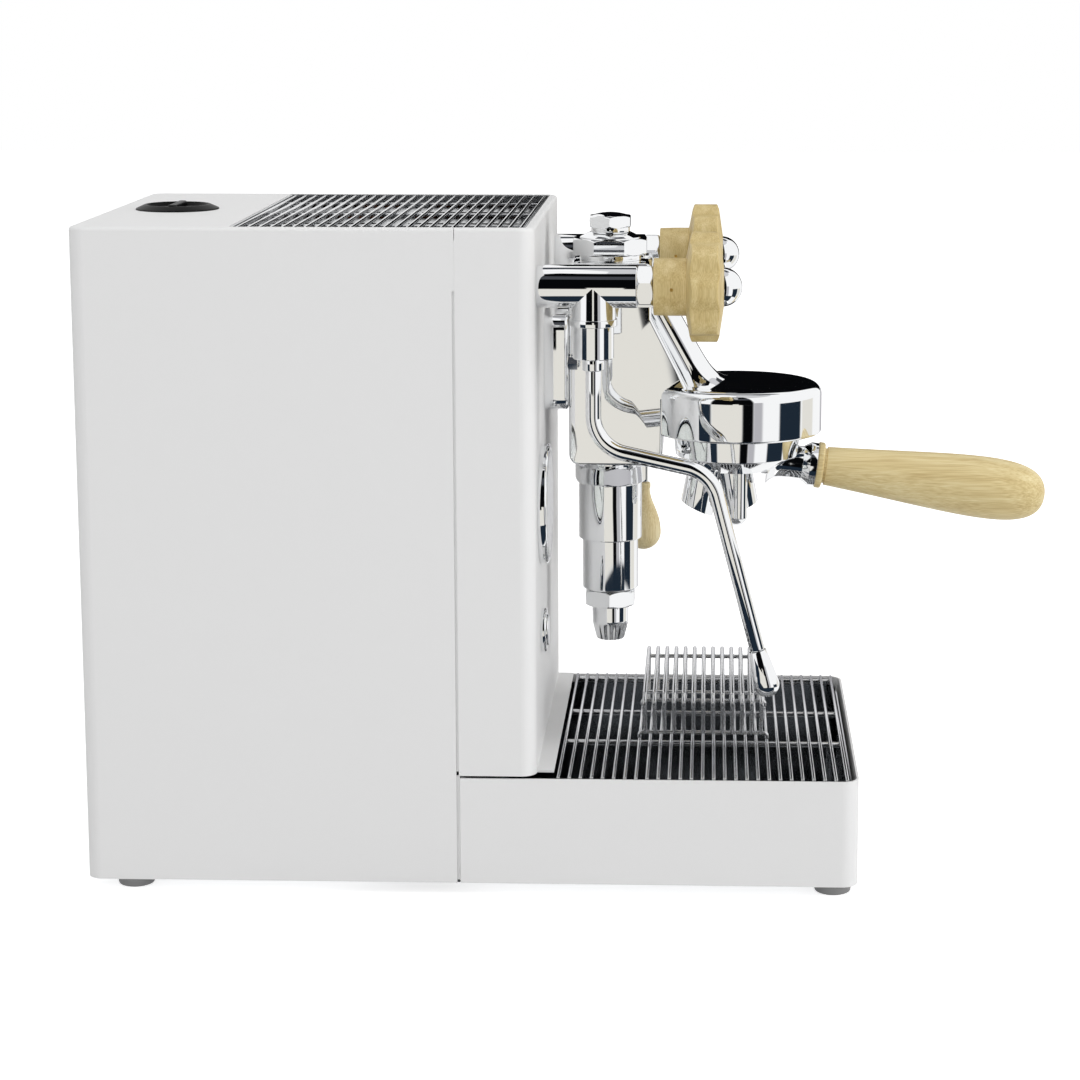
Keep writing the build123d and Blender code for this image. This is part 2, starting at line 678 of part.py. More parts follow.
# Valves: a forward tube with a branch down to the wand, a gland nut, stem and wooden knob
def valve_body(side, name):
    x = side * VALVE_X
    with BuildPart() as body:
        with BuildSketch(Plane.XZ.offset(-FRONT_Y)):
            with Locations((x, VALVE_Z)):
                Circle(VALVE_TUBE / 2)
        extrude(amount=VALVE_REACH)
        with BuildSketch(Plane.XZ.offset(-FRONT_Y)):
            with Locations((x, VALVE_Z)):
                Circle(VALVE_TAIL / 2)
        extrude(amount=-VALVE_TAIL_LENGTH)
        with BuildSketch(Plane.XY.offset(BRANCH_BOTTOM)):
            with Locations((x, ahead(BRANCH_AHEAD))):
                Circle(BRANCH_DIAMETER / 2)
        extrude(amount=VALVE_Z - BRANCH_BOTTOM)
        with BuildSketch(Plane.XY.offset(BRANCH_RING_Z)):
            with Locations((x, ahead(BRANCH_AHEAD))):
                Circle(BRANCH_RING / 2)
        extrude(amount=BRANCH_RING_HEIGHT)
        with BuildSketch(Plane.XY.offset(BRANCH_BOTTOM)):
            with Locations((x, ahead(BRANCH_AHEAD))):
                Circle(WAND_DIAMETER / 2 + RUNNING_FIT)
        extrude(amount=SOCKET_DEPTH, mode=Mode.SUBTRACT)
        with BuildSketch(Plane.XZ.offset(-ahead(VALVE_REACH))):
            with Locations((x, VALVE_Z)):
                Circle(STEM_DIAMETER / 2 + RUNNING_FIT)
        extrude(amount=-STEM_DEPTH, mode=Mode.SUBTRACT)
    save(body, name)


valve_body(-1, "steam_valve")
valve_body(1, "water_valve")

gland_front = VALVE_REACH + GLAND_LENGTH
with BuildPart() as gland_nuts:
    with BuildSketch(Plane.XZ.offset(-ahead(VALVE_REACH))):
        with Locations((-VALVE_X, VALVE_Z), (VALVE_X, VALVE_Z)):
            RegularPolygon(GLAND_FLATS / 2, 6, major_radius=False)
            Circle(STEM_DIAMETER / 2 + RUNNING_FIT, mode=Mode.SUBTRACT)
    extrude(amount=GLAND_LENGTH)
save(gland_nuts, "gland_nuts")


def valve_knob(side, kind):
    """Stem, lobed wooden knob, chrome cap and grub screw of one valve."""
    x = side * VALVE_X
    hub_back = gland_front + FREE_FIT
    disc_back = hub_back + HUB_LENGTH
    disc_front = disc_back + DISC_THICKNESS
    stem_end = disc_back + DISC_THICKNESS / 2
    screw_y = ahead(hub_back + HUB_LENGTH / 2)
    with BuildPart() as stem:
        with BuildSketch(Plane.XZ.offset(-ahead(VALVE_REACH - STEM_DEPTH + FREE_FIT))):
            with Locations((x, VALVE_Z)):
                Circle(STEM_DIAMETER / 2)
        extrude(amount=stem_end - VALVE_REACH + STEM_DEPTH - FREE_FIT)
    save(stem, f"{kind}_stem")
    with BuildPart() as knob:
        with BuildSketch(Plane.XZ.offset(-ahead(disc_back - DISC_CROWN))) as disc_plan:
            with Locations((x, VALVE_Z)):
                Circle(DISC_DIAMETER / 2)
                with PolarLocations(DISC_DIAMETER / 2 + 2 * LOBE_DEPTH, LOBES, start_angle=180 / LOBES):
                    Circle(3 * LOBE_DEPTH, mode=Mode.SUBTRACT)
            fillet(disc_plan.vertices(), radius=LOBE_DEPTH)
        extrude(amount=DISC_THICKNESS + 2 * DISC_CROWN)
        with BuildSketch(along((x, FRONT_Y, VALVE_Z), (0, -1, 0))):
            with BuildLine():
                Polyline(
                    (0, disc_back - DISC_CROWN),
                    (HUB_DIAMETER / 2, disc_back - DISC_CROWN),
                    (DISC_DIAMETER / 2 - LOBE_DEPTH, disc_back),
                    (DISC_DIAMETER / 2, disc_back + DISC_EDGE),
                    (DISC_DIAMETER / 2, disc_front - DISC_EDGE),
                    (DISC_DIAMETER / 2 - LOBE_DEPTH, disc_front),
                    (KNOB_CAP / 2, disc_front + DISC_CROWN),
                    (0, disc_front + DISC_CROWN),
                    close=True,
                )
            make_face()
        revolve(axis=Axis((x, FRONT_Y, VALVE_Z), (0, -1, 0)), mode=Mode.INTERSECT)
        with BuildSketch(Plane.XZ.offset(-ahead(hub_back))):
            with Locations((x, VALVE_Z)):
                Circle(HUB_DIAMETER / 2)
        extrude(amount=HUB_LENGTH)
        with BuildSketch(Plane.XZ.offset(-ahead(hub_back))):
            with Locations((x, VALVE_Z)):
                Circle(STEM_DIAMETER / 2)
        extrude(amount=stem_end - hub_back, mode=Mode.SUBTRACT)
        with BuildSketch(Plane.YZ.offset(x)):
            with Locations((screw_y, VALVE_Z)):
                Circle(KNOB_SCREW / 2)
        extrude(amount=-HUB_DIAMETER, mode=Mode.SUBTRACT)
    save(knob, f"{kind}_knob")
    with BuildPart() as screw:
        with BuildSketch(Plane.YZ.offset(x - STEM_DIAMETER / 2 - RUNNING_FIT)):
            with Locations((screw_y, VALVE_Z)):
                Circle(KNOB_SCREW / 2 - RUNNING_FIT)
        extrude(amount=-(HUB_DIAMETER - STEM_DIAMETER) / 2)
    save(screw, f"{kind}_knob_screw")
    cap_back = disc_front + DISC_CROWN
    cap_top = cap_back + KNOB_CAP_REACH
    with BuildPart() as cap:
        with BuildSketch(along((x, FRONT_Y, VALVE_Z), (0, -1, 0))):
            with BuildLine():
                Polyline((0, cap_top), (0, cap_back), (KNOB_CAP / 2, cap_back))
                ThreePointArc(*dome(KNOB_CAP / 2, KNOB_CAP_REACH, cap_back))
            make_face()
        revolve(axis=Axis((x, FRONT_Y, VALVE_Z), (0, -1, 0)))
    save(cap, f"{kind}_knob_cap")


valve_knob(-1, "steam")
valve_knob(1, "water")


def wand(side, kind, leg_reach, leg_drop):
    """Bent steel pipe that swivels in its valve's branch, with a turned tip on its end."""
    x = side * VALVE_X
    start = (x, ahead(BRANCH_AHEAD), BRANCH_BOTTOM + SOCKET_DEPTH - FREE_FIT)
    knee = (x, ahead(BRANCH_AHEAD), WAND_KNEE)
    elbow = (x, ahead(BRANCH_AHEAD + WAND_RUN), WAND_KNEE - WAND_RUN_DROP)
    end = (x, elbow[1] - leg_reach, elbow[2] - leg_drop)
    with BuildPart() as pipe:
        with BuildLine() as route:
            FilletPolyline(start, knee, elbow, end, radius=WAND_BEND)
        with BuildSketch(Plane(origin=start, z_dir=(0, 0, -1))):
            Circle(WAND_DIAMETER / 2)
        sweep(path=route.line)
        with BuildSketch(Plane.XY.offset(WAND_COLLAR_BOTTOM)):
            with Locations((x, ahead(BRANCH_AHEAD))):
                Circle(WAND_COLLAR / 2)
        extrude(amount=BRANCH_BOTTOM - FREE_FIT - WAND_COLLAR_BOTTOM)
    save(pipe, f"{kind}_wand_pipe")
    down = (0, -leg_reach, -leg_drop)
    with BuildPart() as tip:
        with BuildSketch(along(end, down)):
            with BuildLine():
                Polyline(
                    (0, TIP_LENGTH),
                    (0, 0),
                    (TIP_NECK / 2, 0),
                    (TIP_DIAMETER / 2, TIP_LENGTH - TIP_DIAMETER / 2),
                )
                ThreePointArc(*dome(TIP_DIAMETER / 2, TIP_DIAMETER / 2, TIP_LENGTH - TIP_DIAMETER / 2))
            make_face()
        revolve(axis=Axis(end, down))
    save(tip, f"{kind}_wand_tip")


wand(-1, "steam", STEAM_LEG_REACH, STEAM_LEG_DROP)
wand(1, "water", WATER_LEG_REACH, WATER_LEG_DROP)

# Group: one chromed brass casting with its flange, flat-sided chest, slanted neck and bell
group_y = ahead(GROUP_AHEAD)
bell_y = ahead(BELL_AHEAD)
lever_y = ahead(LEVER_AHEAD)
bell_radius = BELL_DIAMETER / 2
dish_radius = bell_radius - BELL_ROUND - BELL_DISH_RIM
roof_z = BELL_TOP - BELL_ROOF - BELL_DISH
neck_foot = Vector(0, ahead(NECK_FOOT_AHEAD), NECK_FOOT_Z)
neck_top = Vector(0, ahead(NECK_TOP_AHEAD), NECK_TOP_Z)
with BuildPart() as group_body:
    with BuildSketch(Plane.YZ) as casting_side:
        with BuildLine():
            Polyline(
                (ahead(CASTING_BACK), CASTING_BOTTOM),
                (ahead(CASTING_BACK), CASTING_TOP),
                (ahead(CASTING_FRONT), CASTING_TOP),
                (ahead(CASTING_FRONT), WEB_TOP),
                (ahead(WEB_FOOT), BELL_TOP - BELL_DISH),
                (ahead(WEB_REACH), roof_z + CASTING_EDGE),
                (ahead(WEB_REACH), CASTING_BOTTOM),
                close=True,
            )
        make_face()
        fillet(casting_side.vertices().group_by(Axis.Y)[0], radius=CASTING_CORNER)
        fillet(casting_side.vertices().group_by(Axis.Y)[-1], radius=CASTING_CORNER / 2)
    extrude(amount=CASTING_HALF, both=True)
    casting_sides = group_body.edges().group_by(Axis.X)
    fillet(casting_sides[0] + casting_sides[-1], radius=CASTING_EDGE)
    with BuildSketch(Plane.XZ.offset(-FRONT_Y)) as flange_plan:
        with Locations((0, (FLANGE_BOTTOM + FLANGE_TOP) / 2)):
            Rectangle(2 * FLANGE_HALF, FLANGE_TOP - FLANGE_BOTTOM)
        fillet(flange_plan.vertices(), radius=FLANGE_CORNER)
    extrude(amount=CASTING_BACK)
    with BuildSketch(along((0, bell_y, 0), (0, 0, 1))):
        with BuildLine():
            Polyline(
                (bell_radius, BELL_TOP - BELL_ROUND),
                (bell_radius, BELL_BOTTOM + BELL_CHAMFER),
                (bell_radius - BELL_CHAMFER, BELL_BOTTOM),
                (BELL_BORE / 2, BELL_BOTTOM),
                (BELL_BORE / 2, roof_z),
                (0, roof_z),
                (0, BELL_TOP - BELL_DISH),
            )
            ThreePointArc(
                (0, BELL_TOP - BELL_DISH),
                (dish_radius / 2, BELL_TOP - BELL_DISH * 3 / 4),
                (dish_radius, BELL_TOP),
            )
            Line((dish_radius, BELL_TOP), (bell_radius - BELL_ROUND, BELL_TOP))
            ThreePointArc(*quarter(bell_radius, BELL_TOP, BELL_ROUND))
        make_face()
    revolve(axis=Axis((0, bell_y, 0), (0, 0, 1)))
    with BuildSketch(Plane.XY.offset(BELL_BOTTOM)):
        with Locations(Location((0, bell_y), -UNLOCK_ANGLE)):
            Circle(BELL_BORE / 2 + BELL_CHAMFER)
            Circle(BOWL_DIAMETER / 2 + FREE_FIT, mode=Mode.SUBTRACT)
            Rectangle(EAR_REACH + 2 * BELL_LEDGE, EAR_WIDTH + BELL_LEDGE, mode=Mode.SUBTRACT)
    extrude(amount=BELL_LEDGE)
    with BuildSketch(Plane(origin=neck_foot, z_dir=neck_top - neck_foot)):
        Circle(NECK_DIAMETER / 2)
    extrude(amount=(neck_top - neck_foot).length)
    with BuildSketch(Plane(origin=neck_foot, z_dir=neck_top - neck_foot)):
        Circle(NECK_FLARE / 2)
    extrude(amount=(NECK_FLARE - NECK_DIAMETER) / 2 / tan(radians(NECK_FLARE_TAPER)), taper=NECK_FLARE_TAPER)
    with BuildSketch(Plane.YZ.offset(CASTING_HALF)):
        with Locations((lever_y, LEVER_Z)):
            Circle(LEVER_SHAFT / 2 + RUNNING_FIT)
    extrude(amount=-LEVER_SHAFT_DEPTH, mode=Mode.SUBTRACT)
save(group_body, "group_body")

# Bolts that hold the group's flange to the panel
with BuildPart() as group_bolts:
    with BuildSketch(Plane.XZ.offset(-ahead(CASTING_BACK))):
        with Locations((-BOLT_X, group_pipe_z), (BOLT_X, group_pipe_z)):
            RegularPolygon(BOLT_HEAD / 2, 6)
    extrude(amount=BOLT_HEIGHT)
save(group_bolts, "group_bolts")

# Gasket and shower screen up in the bell
with BuildPart() as group_gasket:
    with BuildSketch(Plane.XY.offset(roof_z)):
        with Locations((0, bell_y)):
            Circle(BELL_BORE / 2 - FREE_FIT)
            Circle(GASKET_BORE / 2, mode=Mode.SUBTRACT)
    extrude(amount=-GASKET_HEIGHT)
save(group_gasket, "group_gasket")

with BuildPart() as shower_screen:
    with BuildSketch(Plane.XY.offset(roof_z)):
        with Locations((0, bell_y)):
            Circle(GASKET_BORE / 2 - FREE_FIT)
    extrude(amount=-SCREEN_THICKNESS)
save(shower_screen, "shower_screen")

# Chest nut and cap nut over the group
nut_foot = CASTING_TOP + TOP_NECK_HEIGHT
nut_top = nut_foot + TOP_NUT_HEIGHT
crown_top = nut_top + TOP_NUT_CROWN
with BuildPart() as top_nut:
    with BuildSketch(Plane.XY.offset(CASTING_TOP)):
        with Locations((0, group_y)):
            Circle(TOP_NECK / 2)
    extrude(amount=TOP_NECK_HEIGHT)
    with BuildSketch(Plane.XY.offset(nut_foot)):
        with Locations((0, group_y)):
            RegularPolygon(TOP_NUT_FLATS / 2, NUT_SIDES, major_radius=False, rotation=180 / NUT_SIDES)
    extrude(amount=TOP_NUT_HEIGHT)
    with BuildSketch(Plane.XY.offset(nut_top)):
        with Locations((0, group_y)):
            Circle(TOP_NECK / 2)
    extrude(amount=TOP_NUT_CROWN, taper=TOP_CROWN_TAPER)
save(top_nut, "top_nut")

cap_foot = crown_top + TOP_CAP_RING_HEIGHT
with BuildPart() as top_cap:
    with BuildSketch(Plane.XY.offset(crown_top)):
        with Locations((0, group_y)):
            Circle(TOP_CAP_RING / 2)
    extrude(amount=TOP_CAP_RING_HEIGHT)
    with BuildSketch(Plane.XY.offset(cap_foot)):
        with Locations((0, group_y)):
            RegularPolygon(TOP_CAP_FLATS / 2, 6, major_radius=False)
    extrude(amount=TOP_CAP_HEIGHT)
    with BuildSketch(Plane.XY.offset(cap_foot + TOP_CAP_HEIGHT)):
        with Locations((0, group_y)):
            Circle(TOP_CAP_FLATS / 2)
    extrude(amount=TOP_CAP_DOME, taper=CAP_DOME_TAPER)
save(top_cap, "top_cap")

# Lower chamber with its two nuts, and the fluted drain nozzle
chamber_nut_top = CASTING_BOTTOM - CHAMBER_NECK_HEIGHT
chamber_nut_bottom = chamber_nut_top - CHAMBER_NUT_HEIGHT
chamber_step = chamber_nut_bottom - CHAMBER_UPPER_HEIGHT
chamber_bottom = chamber_step - CHAMBER_LOWER_HEIGHT
with BuildPart() as lower_chamber:
    with BuildSketch(Plane.XY.offset(CASTING_BOTTOM)):
        with Locations((0, group_y)):
            Circle(CHAMBER_NECK / 2)
    extrude(amount=-CHAMBER_NECK_HEIGHT)
    with BuildSketch(Plane.XY.offset(chamber_nut_top)):
        with Locations((0, group_y)):
            RegularPolygon(CHAMBER_NUT_CORNERS / 2, NUT_SIDES, rotation=CHAMBER_NUT_TURN)
    extrude(amount=-CHAMBER_NUT_HEIGHT)
    with BuildSketch(Plane.XY.offset(chamber_nut_bottom)):
        with Locations((0, group_y)):
            Circle(CHAMBER_UPPER / 2)
    extrude(amount=-CHAMBER_UPPER_HEIGHT)
    with BuildSketch(Plane.XY.offset(chamber_step)):
        with Locations((0, group_y)):
            Circle(CHAMBER_LOWER / 2)
    extrude(amount=-CHAMBER_LOWER_HEIGHT)
    fillet(lower_chamber.edges().group_by(Axis.Z)[0], radius=CHAMBER_ROUND)
save(lower_chamber, "lower_chamber")

nozzle_top = chamber_bottom - DRAIN_NUT_HEIGHT
with BuildPart() as drain_nozzle:
    with BuildSketch(Plane.XY.offset(chamber_bottom)):
        with Locations((0, group_y)):
            RegularPolygon(DRAIN_NUT_FLATS / 2, 6, major_radius=False)
    extrude(amount=-DRAIN_NUT_HEIGHT)
    with BuildSketch(Plane.XY.offset(nozzle_top)):
        with Locations((0, group_y)):
            Circle(NOZZLE_TOP / 2)
    extrude(amount=-NOZZLE_COLLAR)
    with BuildSketch(Plane.XY.offset(nozzle_top - NOZZLE_COLLAR)):
        with Locations((0, group_y)):
            Circle(NOZZLE_TOP / 2)
    with BuildSketch(Plane.XY.offset(nozzle_top - NOZZLE_LENGTH)):
        with Locations((0, group_y)):
            Circle(NOZZLE_END / 2)
    loft()
    with BuildSketch(Plane.XY.offset(nozzle_top - NOZZLE_LENGTH)):
        with Locations((0, group_y)):
            with PolarLocations(NOZZLE_END / 2 + FLUTE_WIDTH / 4, FLUTES):
                Circle(FLUTE_WIDTH / 2)
            Circle(NOZZLE_BORE / 2)
    extrude(amount=NOZZLE_LENGTH - NOZZLE_COLLAR, mode=Mode.SUBTRACT)
save(drain_nozzle, "drain_nozzle")

# Lever: boss on the chest's side, shaft, rod and teardrop knob
with BuildPart() as lever_boss:
    with BuildSketch(Plane.YZ.offset(CASTING_HALF)):
        with Locations((lever_y, LEVER_Z)):
            RegularPolygon(LEVER_BOSS / 2, 6)
            Circle(LEVER_SHAFT / 2 + RUNNING_FIT, mode=Mode.SUBTRACT)
    extrude(amount=LEVER_BOSS_LENGTH)
save(lever_boss, "lever_boss")

shaft_start = CASTING_HALF - LEVER_SHAFT_DEPTH + FREE_FIT
lever_lean = radians(LEVER_LEAN)
lever_down = Vector(0, -sin(lever_lean), -cos(lever_lean))
lever_pivot = Vector(LEVER_X, lever_y, LEVER_Z)
with BuildPart() as lever_shaft:
    with BuildSketch(Plane.YZ.offset(shaft_start)):
        with Locations((lever_y, LEVER_Z)):
            Circle(LEVER_SHAFT / 2)
    extrude(amount=LEVER_X + LEVER_HUB_HALF - shaft_start)
    with BuildSketch(Plane.YZ.offset(LEVER_X - LEVER_HUB_HALF)):
        with Locations((lever_y, LEVER_Z)):
            Circle(LEVER_HUB / 2)
    extrude(amount=2 * LEVER_HUB_HALF)
save(lever_shaft, "lever_shaft")

rod_start = lever_pivot + lever_down * (LEVER_HUB / 2 - WELD)
rod_end = lever_pivot + lever_down * LEVER_ROD_LENGTH
with BuildPart() as lever_rod:
    with BuildSketch(Plane(origin=rod_start, z_dir=lever_down)):
        Circle(LEVER_ROD / 2)
    extrude(amount=LEVER_ROD_LENGTH - LEVER_HUB / 2 + WELD)
    with BuildSketch(Plane.YZ.offset(LEVER_X - LEVER_HUB_HALF)):
        with Locations((lever_y, LEVER_Z)):
            Circle(LEVER_HUB / 2)
    extrude(amount=2 * LEVER_HUB_HALF, mode=Mode.SUBTRACT)
save(lever_rod, "lever_rod")

lever_belly = LEVER_KNOB_LENGTH - LEVER_KNOB_DIAMETER / 2
with BuildPart() as lever_knob:
    with BuildSketch(along(rod_end, lever_down)):
        with BuildLine():
            Polyline((0, LEVER_KNOB_LENGTH), (0, 0), (LEVER_KNOB_NECK / 2, 0))
            Bezier(
                (LEVER_KNOB_NECK / 2, 0),
                (LEVER_KNOB_NECK / 2, lever_belly / 2),
                (LEVER_KNOB_DIAMETER / 2, lever_belly / 2),
                (LEVER_KNOB_DIAMETER / 2, lever_belly),
            )
            ThreePointArc(*dome(LEVER_KNOB_DIAMETER / 2, LEVER_KNOB_DIAMETER / 2, lever_belly))
        make_face()
    revolve(axis=Axis(rod_end, lever_down))
save(lever_knob, "lever_knob")

# Portafilter: bowl with its ears and arm, basket, double spout, ferrule and wooden handle
drop = radians(HANDLE_DROP)
handle_dir = Vector(0, -cos(drop), -sin(drop))
handle_tip = Vector(0, ahead(HANDLE_REACH), HANDLE_TIP_Z)
handle_start = handle_tip - handle_dir * HANDLE_LENGTH
handle_plane = along(handle_start, handle_dir)
arm_run = (bell_y - handle_start.Y - BOWL_FLOOR_DIAMETER / 2) / cos(drop)
arm_start = handle_start - handle_dir * arm_run
bowl_rim = roof_z - GASKET_HEIGHT - FREE_FIT - BASKET_WALL
ear_bottom = BELL_BOTTOM + BELL_LEDGE + FREE_FIT
basket_floor = bowl_rim - BASKET_DEPTH
with BuildPart() as portafilter_bowl:
    with BuildSketch(Plane(origin=arm_start, z_dir=handle_dir)):
        Circle(ARM_DIAMETER / 2)
    extrude(amount=arm_run - FERRULE_LENGTH)
    with BuildSketch(along((0, bell_y, 0), (0, 0, 1))):
        with BuildLine():
            Polyline(
                (0, bowl_rim),
                (BOWL_DIAMETER / 2, bowl_rim),
                (BOWL_DIAMETER / 2, BELL_BOTTOM),
                (BOWL_WAIST / 2, BOWL_WALL_BOTTOM),
                (BOWL_FLOOR_DIAMETER / 2, BOWL_BOTTOM),
                (0, BOWL_BOTTOM),
                close=True,
            )
        make_face()
    revolve(axis=Axis((0, bell_y, 0), (0, 0, 1)))
    with BuildSketch(Plane.XY.offset(ear_bottom)):
        with Locations((0, bell_y)):
            Circle(EAR_REACH / 2)
            Rectangle(EAR_REACH, EAR_WIDTH, mode=Mode.INTERSECT)
    extrude(amount=EAR_HEIGHT)
    with BuildSketch(Plane.XY.offset(bowl_rim)):
        with Locations((0, bell_y)):
            Circle(BASKET_DIAMETER / 2 + FREE_FIT)
    extrude(amount=-BASKET_DEPTH - FREE_FIT, mode=Mode.SUBTRACT)
save(portafilter_bowl, "portafilter_bowl")

with BuildPart() as filter_basket:
    with BuildSketch(Plane.XY.offset(basket_floor)):
        with Locations((0, bell_y)):
            Circle(BASKET_DIAMETER / 2)
    extrude(amount=BASKET_DEPTH)
    with BuildSketch(Plane.XY.offset(bowl_rim)):
        with Locations((0, bell_y)):
            Circle(BASKET_RIM / 2)
    extrude(amount=BASKET_WALL)
    with BuildSketch(Plane.XY.offset(bowl_rim + BASKET_WALL)):
        with Locations((0, bell_y)):
            Circle(BASKET_DIAMETER / 2 - BASKET_WALL)
    extrude(amount=-BASKET_DEPTH, mode=Mode.SUBTRACT)
save(filter_basket, "filter_basket")

spout_y = bell_y + SPOUT_SET_BACK
with BuildPart() as portafilter_spout:
    for side in (-1, 1):
        spout_top = Plane((0, spout_y + side * SPOUT_SPREAD, BOWL_BOTTOM)).rotated((side * SPOUT_LEAN, 0, 0))
        with BuildSketch(spout_top.offset(SPOUT_TUBE)):
            Circle(SPOUT_TUBE / 2)
        extrude(amount=-SPOUT_TUBE - SPOUT_LENGTH)
    for side in (-1, 1):
        spout_top = Plane((0, spout_y + side * SPOUT_SPREAD, BOWL_BOTTOM)).rotated((side * SPOUT_LEAN, 0, 0))
        with BuildSketch(spout_top.offset(-SPOUT_LENGTH)):
            Circle(SPOUT_BORE / 2)
        extrude(amount=SPOUT_LENGTH / 2, mode=Mode.SUBTRACT)
        cut_foot = (0, spout_y + side * SPOUT_SPREAD, BOWL_BOTTOM - SPOUT_CUT_DROP)
        split(bisect_by=Plane(cut_foot).rotated((side * SPOUT_CUT, 0, 0)), keep=Keep.TOP)
    with BuildSketch(Plane.XY.offset(BOWL_BOTTOM)):
        with Locations((0, spout_y)):
            Rectangle(4 * SPOUT_TUBE, 4 * SPOUT_TUBE)
    extrude(amount=2 * SPOUT_TUBE, mode=Mode.SUBTRACT)
    with BuildSketch(Plane.XY.offset(BOWL_BOTTOM)):
        with Locations((-VENT_TUBE_X, ahead(VENT_TUBE_AHEAD))):
            Circle(VENT_TUBE / 2)
    extrude(amount=-VENT_TUBE_LENGTH)
save(portafilter_spout, "portafilter_spout")

with BuildPart() as portafilter_ferrule:
    with BuildSketch(handle_plane):
        with BuildLine():
            Polyline(
                (0, -FERRULE_LENGTH),
                (ARM_DIAMETER / 2, -FERRULE_LENGTH),
                (FERRULE_DIAMETER / 2, -FERRULE_LENGTH / 2),
                (FERRULE_DIAMETER / 2, 0),
                (0, 0),
                close=True,
            )
        make_face()
    revolve(axis=Axis(handle_start, handle_dir))
save(portafilter_ferrule, "portafilter_ferrule")

grip_start = HANDLE_RING_LENGTH + HANDLE_GROOVE_LENGTH
with BuildPart() as portafilter_handle:
    with BuildSketch(handle_plane):
        with BuildLine():
            Polyline(
                (0, HANDLE_LENGTH),
                (0, 0),
                (HANDLE_RING / 2, 0),
                (HANDLE_RING / 2, HANDLE_RING_LENGTH),
                (HANDLE_GROOVE / 2, HANDLE_RING_LENGTH),
                (HANDLE_GROOVE / 2, grip_start),
                (HANDLE_START / 2, grip_start),
            )
            Bezier(
                (HANDLE_START / 2, grip_start),
                (HANDLE_BELLY / 2, HANDLE_LENGTH * 5 / 8),
                (HANDLE_SWELL / 2, HANDLE_LENGTH),
                (0, HANDLE_LENGTH),
            )
        make_face()
    revolve(axis=Axis(handle_start, handle_dir))
save(portafilter_handle, "portafilter_handle")

# Pressure gauge: case with its chrome rim, dial, needle and glass
dial_front = GAUGE_PROUD - DIAL_DEPTH
lens_back = GAUGE_PROUD - LENS_THICKNESS
gauge_window = GAUGE_DIAMETER / 2 - GAUGE_RIM
dial_radius = GAUGE_BODY / 2 - GAUGE_RIM / 2
with BuildPart() as gauge_case:
    with BuildSketch(along((-GAUGE_X, FRONT_Y, GAUGE_Z), (0, -1, 0))):
        with BuildLine():
            Polyline(
                (0, -GAUGE_BODY_DEPTH),
                (GAUGE_BODY / 2, -GAUGE_BODY_DEPTH),
                (GAUGE_BODY / 2, 0),
                (GAUGE_DIAMETER / 2, 0),
                (GAUGE_DIAMETER / 2, GAUGE_PROUD - GAUGE_RIM / 4),
                (GAUGE_DIAMETER / 2 - GAUGE_RIM / 4, GAUGE_PROUD),
                (gauge_window, GAUGE_PROUD),
                (gauge_window, lens_back),
                (dial_radius, lens_back),
                (dial_radius, dial_front - DIAL_THICKNESS),
                (0, dial_front - DIAL_THICKNESS),
                close=True,
            )
        make_face()
    revolve(axis=Axis((-GAUGE_X, FRONT_Y, GAUGE_Z), (0, -1, 0)))
save(gauge_case, "gauge_case")

with BuildPart() as gauge_dial:
    with BuildSketch(Plane.XZ.offset(-ahead(dial_front - DIAL_THICKNESS))):
        with Locations((-GAUGE_X, GAUGE_Z)):
            Circle(dial_radius - FREE_FIT)
    extrude(amount=DIAL_THICKNESS)
save(gauge_dial, "gauge_dial")

needle_back = dial_front + FREE_FIT
with BuildPart() as gauge_needle:
    with BuildSketch(Plane.XZ.offset(-ahead(needle_back))):
        with Locations((-GAUGE_X, GAUGE_Z)):
            Circle(NEEDLE_HUB / 2)
        with Locations(Location((-GAUGE_X, GAUGE_Z), -90 - NEEDLE_REST)):
            Rectangle(NEEDLE_LENGTH, NEEDLE_WIDTH, align=(Align.MIN, Align.CENTER))
    extrude(amount=NEEDLE_THICKNESS)
save(gauge_needle, "gauge_needle")

with BuildPart() as gauge_lens:
    with BuildSketch(Plane.XZ.offset(-ahead(lens_back))):
        with Locations((-GAUGE_X, GAUGE_Z)):
            Circle(gauge_window - RUNNING_FIT)
    extrude(amount=LENS_THICKNESS)
save(gauge_lens, "gauge_lens")

# Power switch: a fixed bezel with its barrel, and the button that travels in it
with BuildPart() as button_bezel:
    with BuildSketch(Plane.XZ.offset(-FRONT_Y)):
        with Locations((-BUTTON_X, BUTTON_Z)):
            Circle(BUTTON_BEZEL / 2)
    extrude(amount=BUTTON_PROUD)
    fillet(button_bezel.edges().sort_by(Axis.Y)[0], radius=BUTTON_PROUD / 3)
    with BuildSketch(Plane.XZ.offset(-FRONT_Y)):
        with Locations((-BUTTON_X, BUTTON_Z)):
            Circle(BUTTON_BODY / 2)
    extrude(amount=-BUTTON_DEPTH)
    with BuildSketch(Plane.XZ.offset(-ahead(BUTTON_PROUD))):
        with Locations((-BUTTON_X, BUTTON_Z)):
            Circle(BUTTON_DIAMETER / 2 + RUNNING_FIT)
    extrude(amount=-BUTTON_PROUD - BUTTON_DEPTH + 2 * SHEET, mode=Mode.SUBTRACT)
save(button_bezel, "button_bezel")

button_face = BUTTON_PROUD + BUTTON_TRAVEL / 2
button_length = button_face + BUTTON_DEPTH - 2 * SHEET - BUTTON_TRAVEL - FREE_FIT
with BuildPart() as power_button:
    with BuildSketch(Plane.XZ.offset(-ahead(button_face))):
        with Locations((-BUTTON_X, BUTTON_Z)):
            Circle(BUTTON_DIAMETER / 2)
    extrude(amount=-button_length)
    fillet(power_button.edges().sort_by(Axis.Y)[0], radius=BUTTON_TRAVEL / 3)
save(power_button, "power_button")

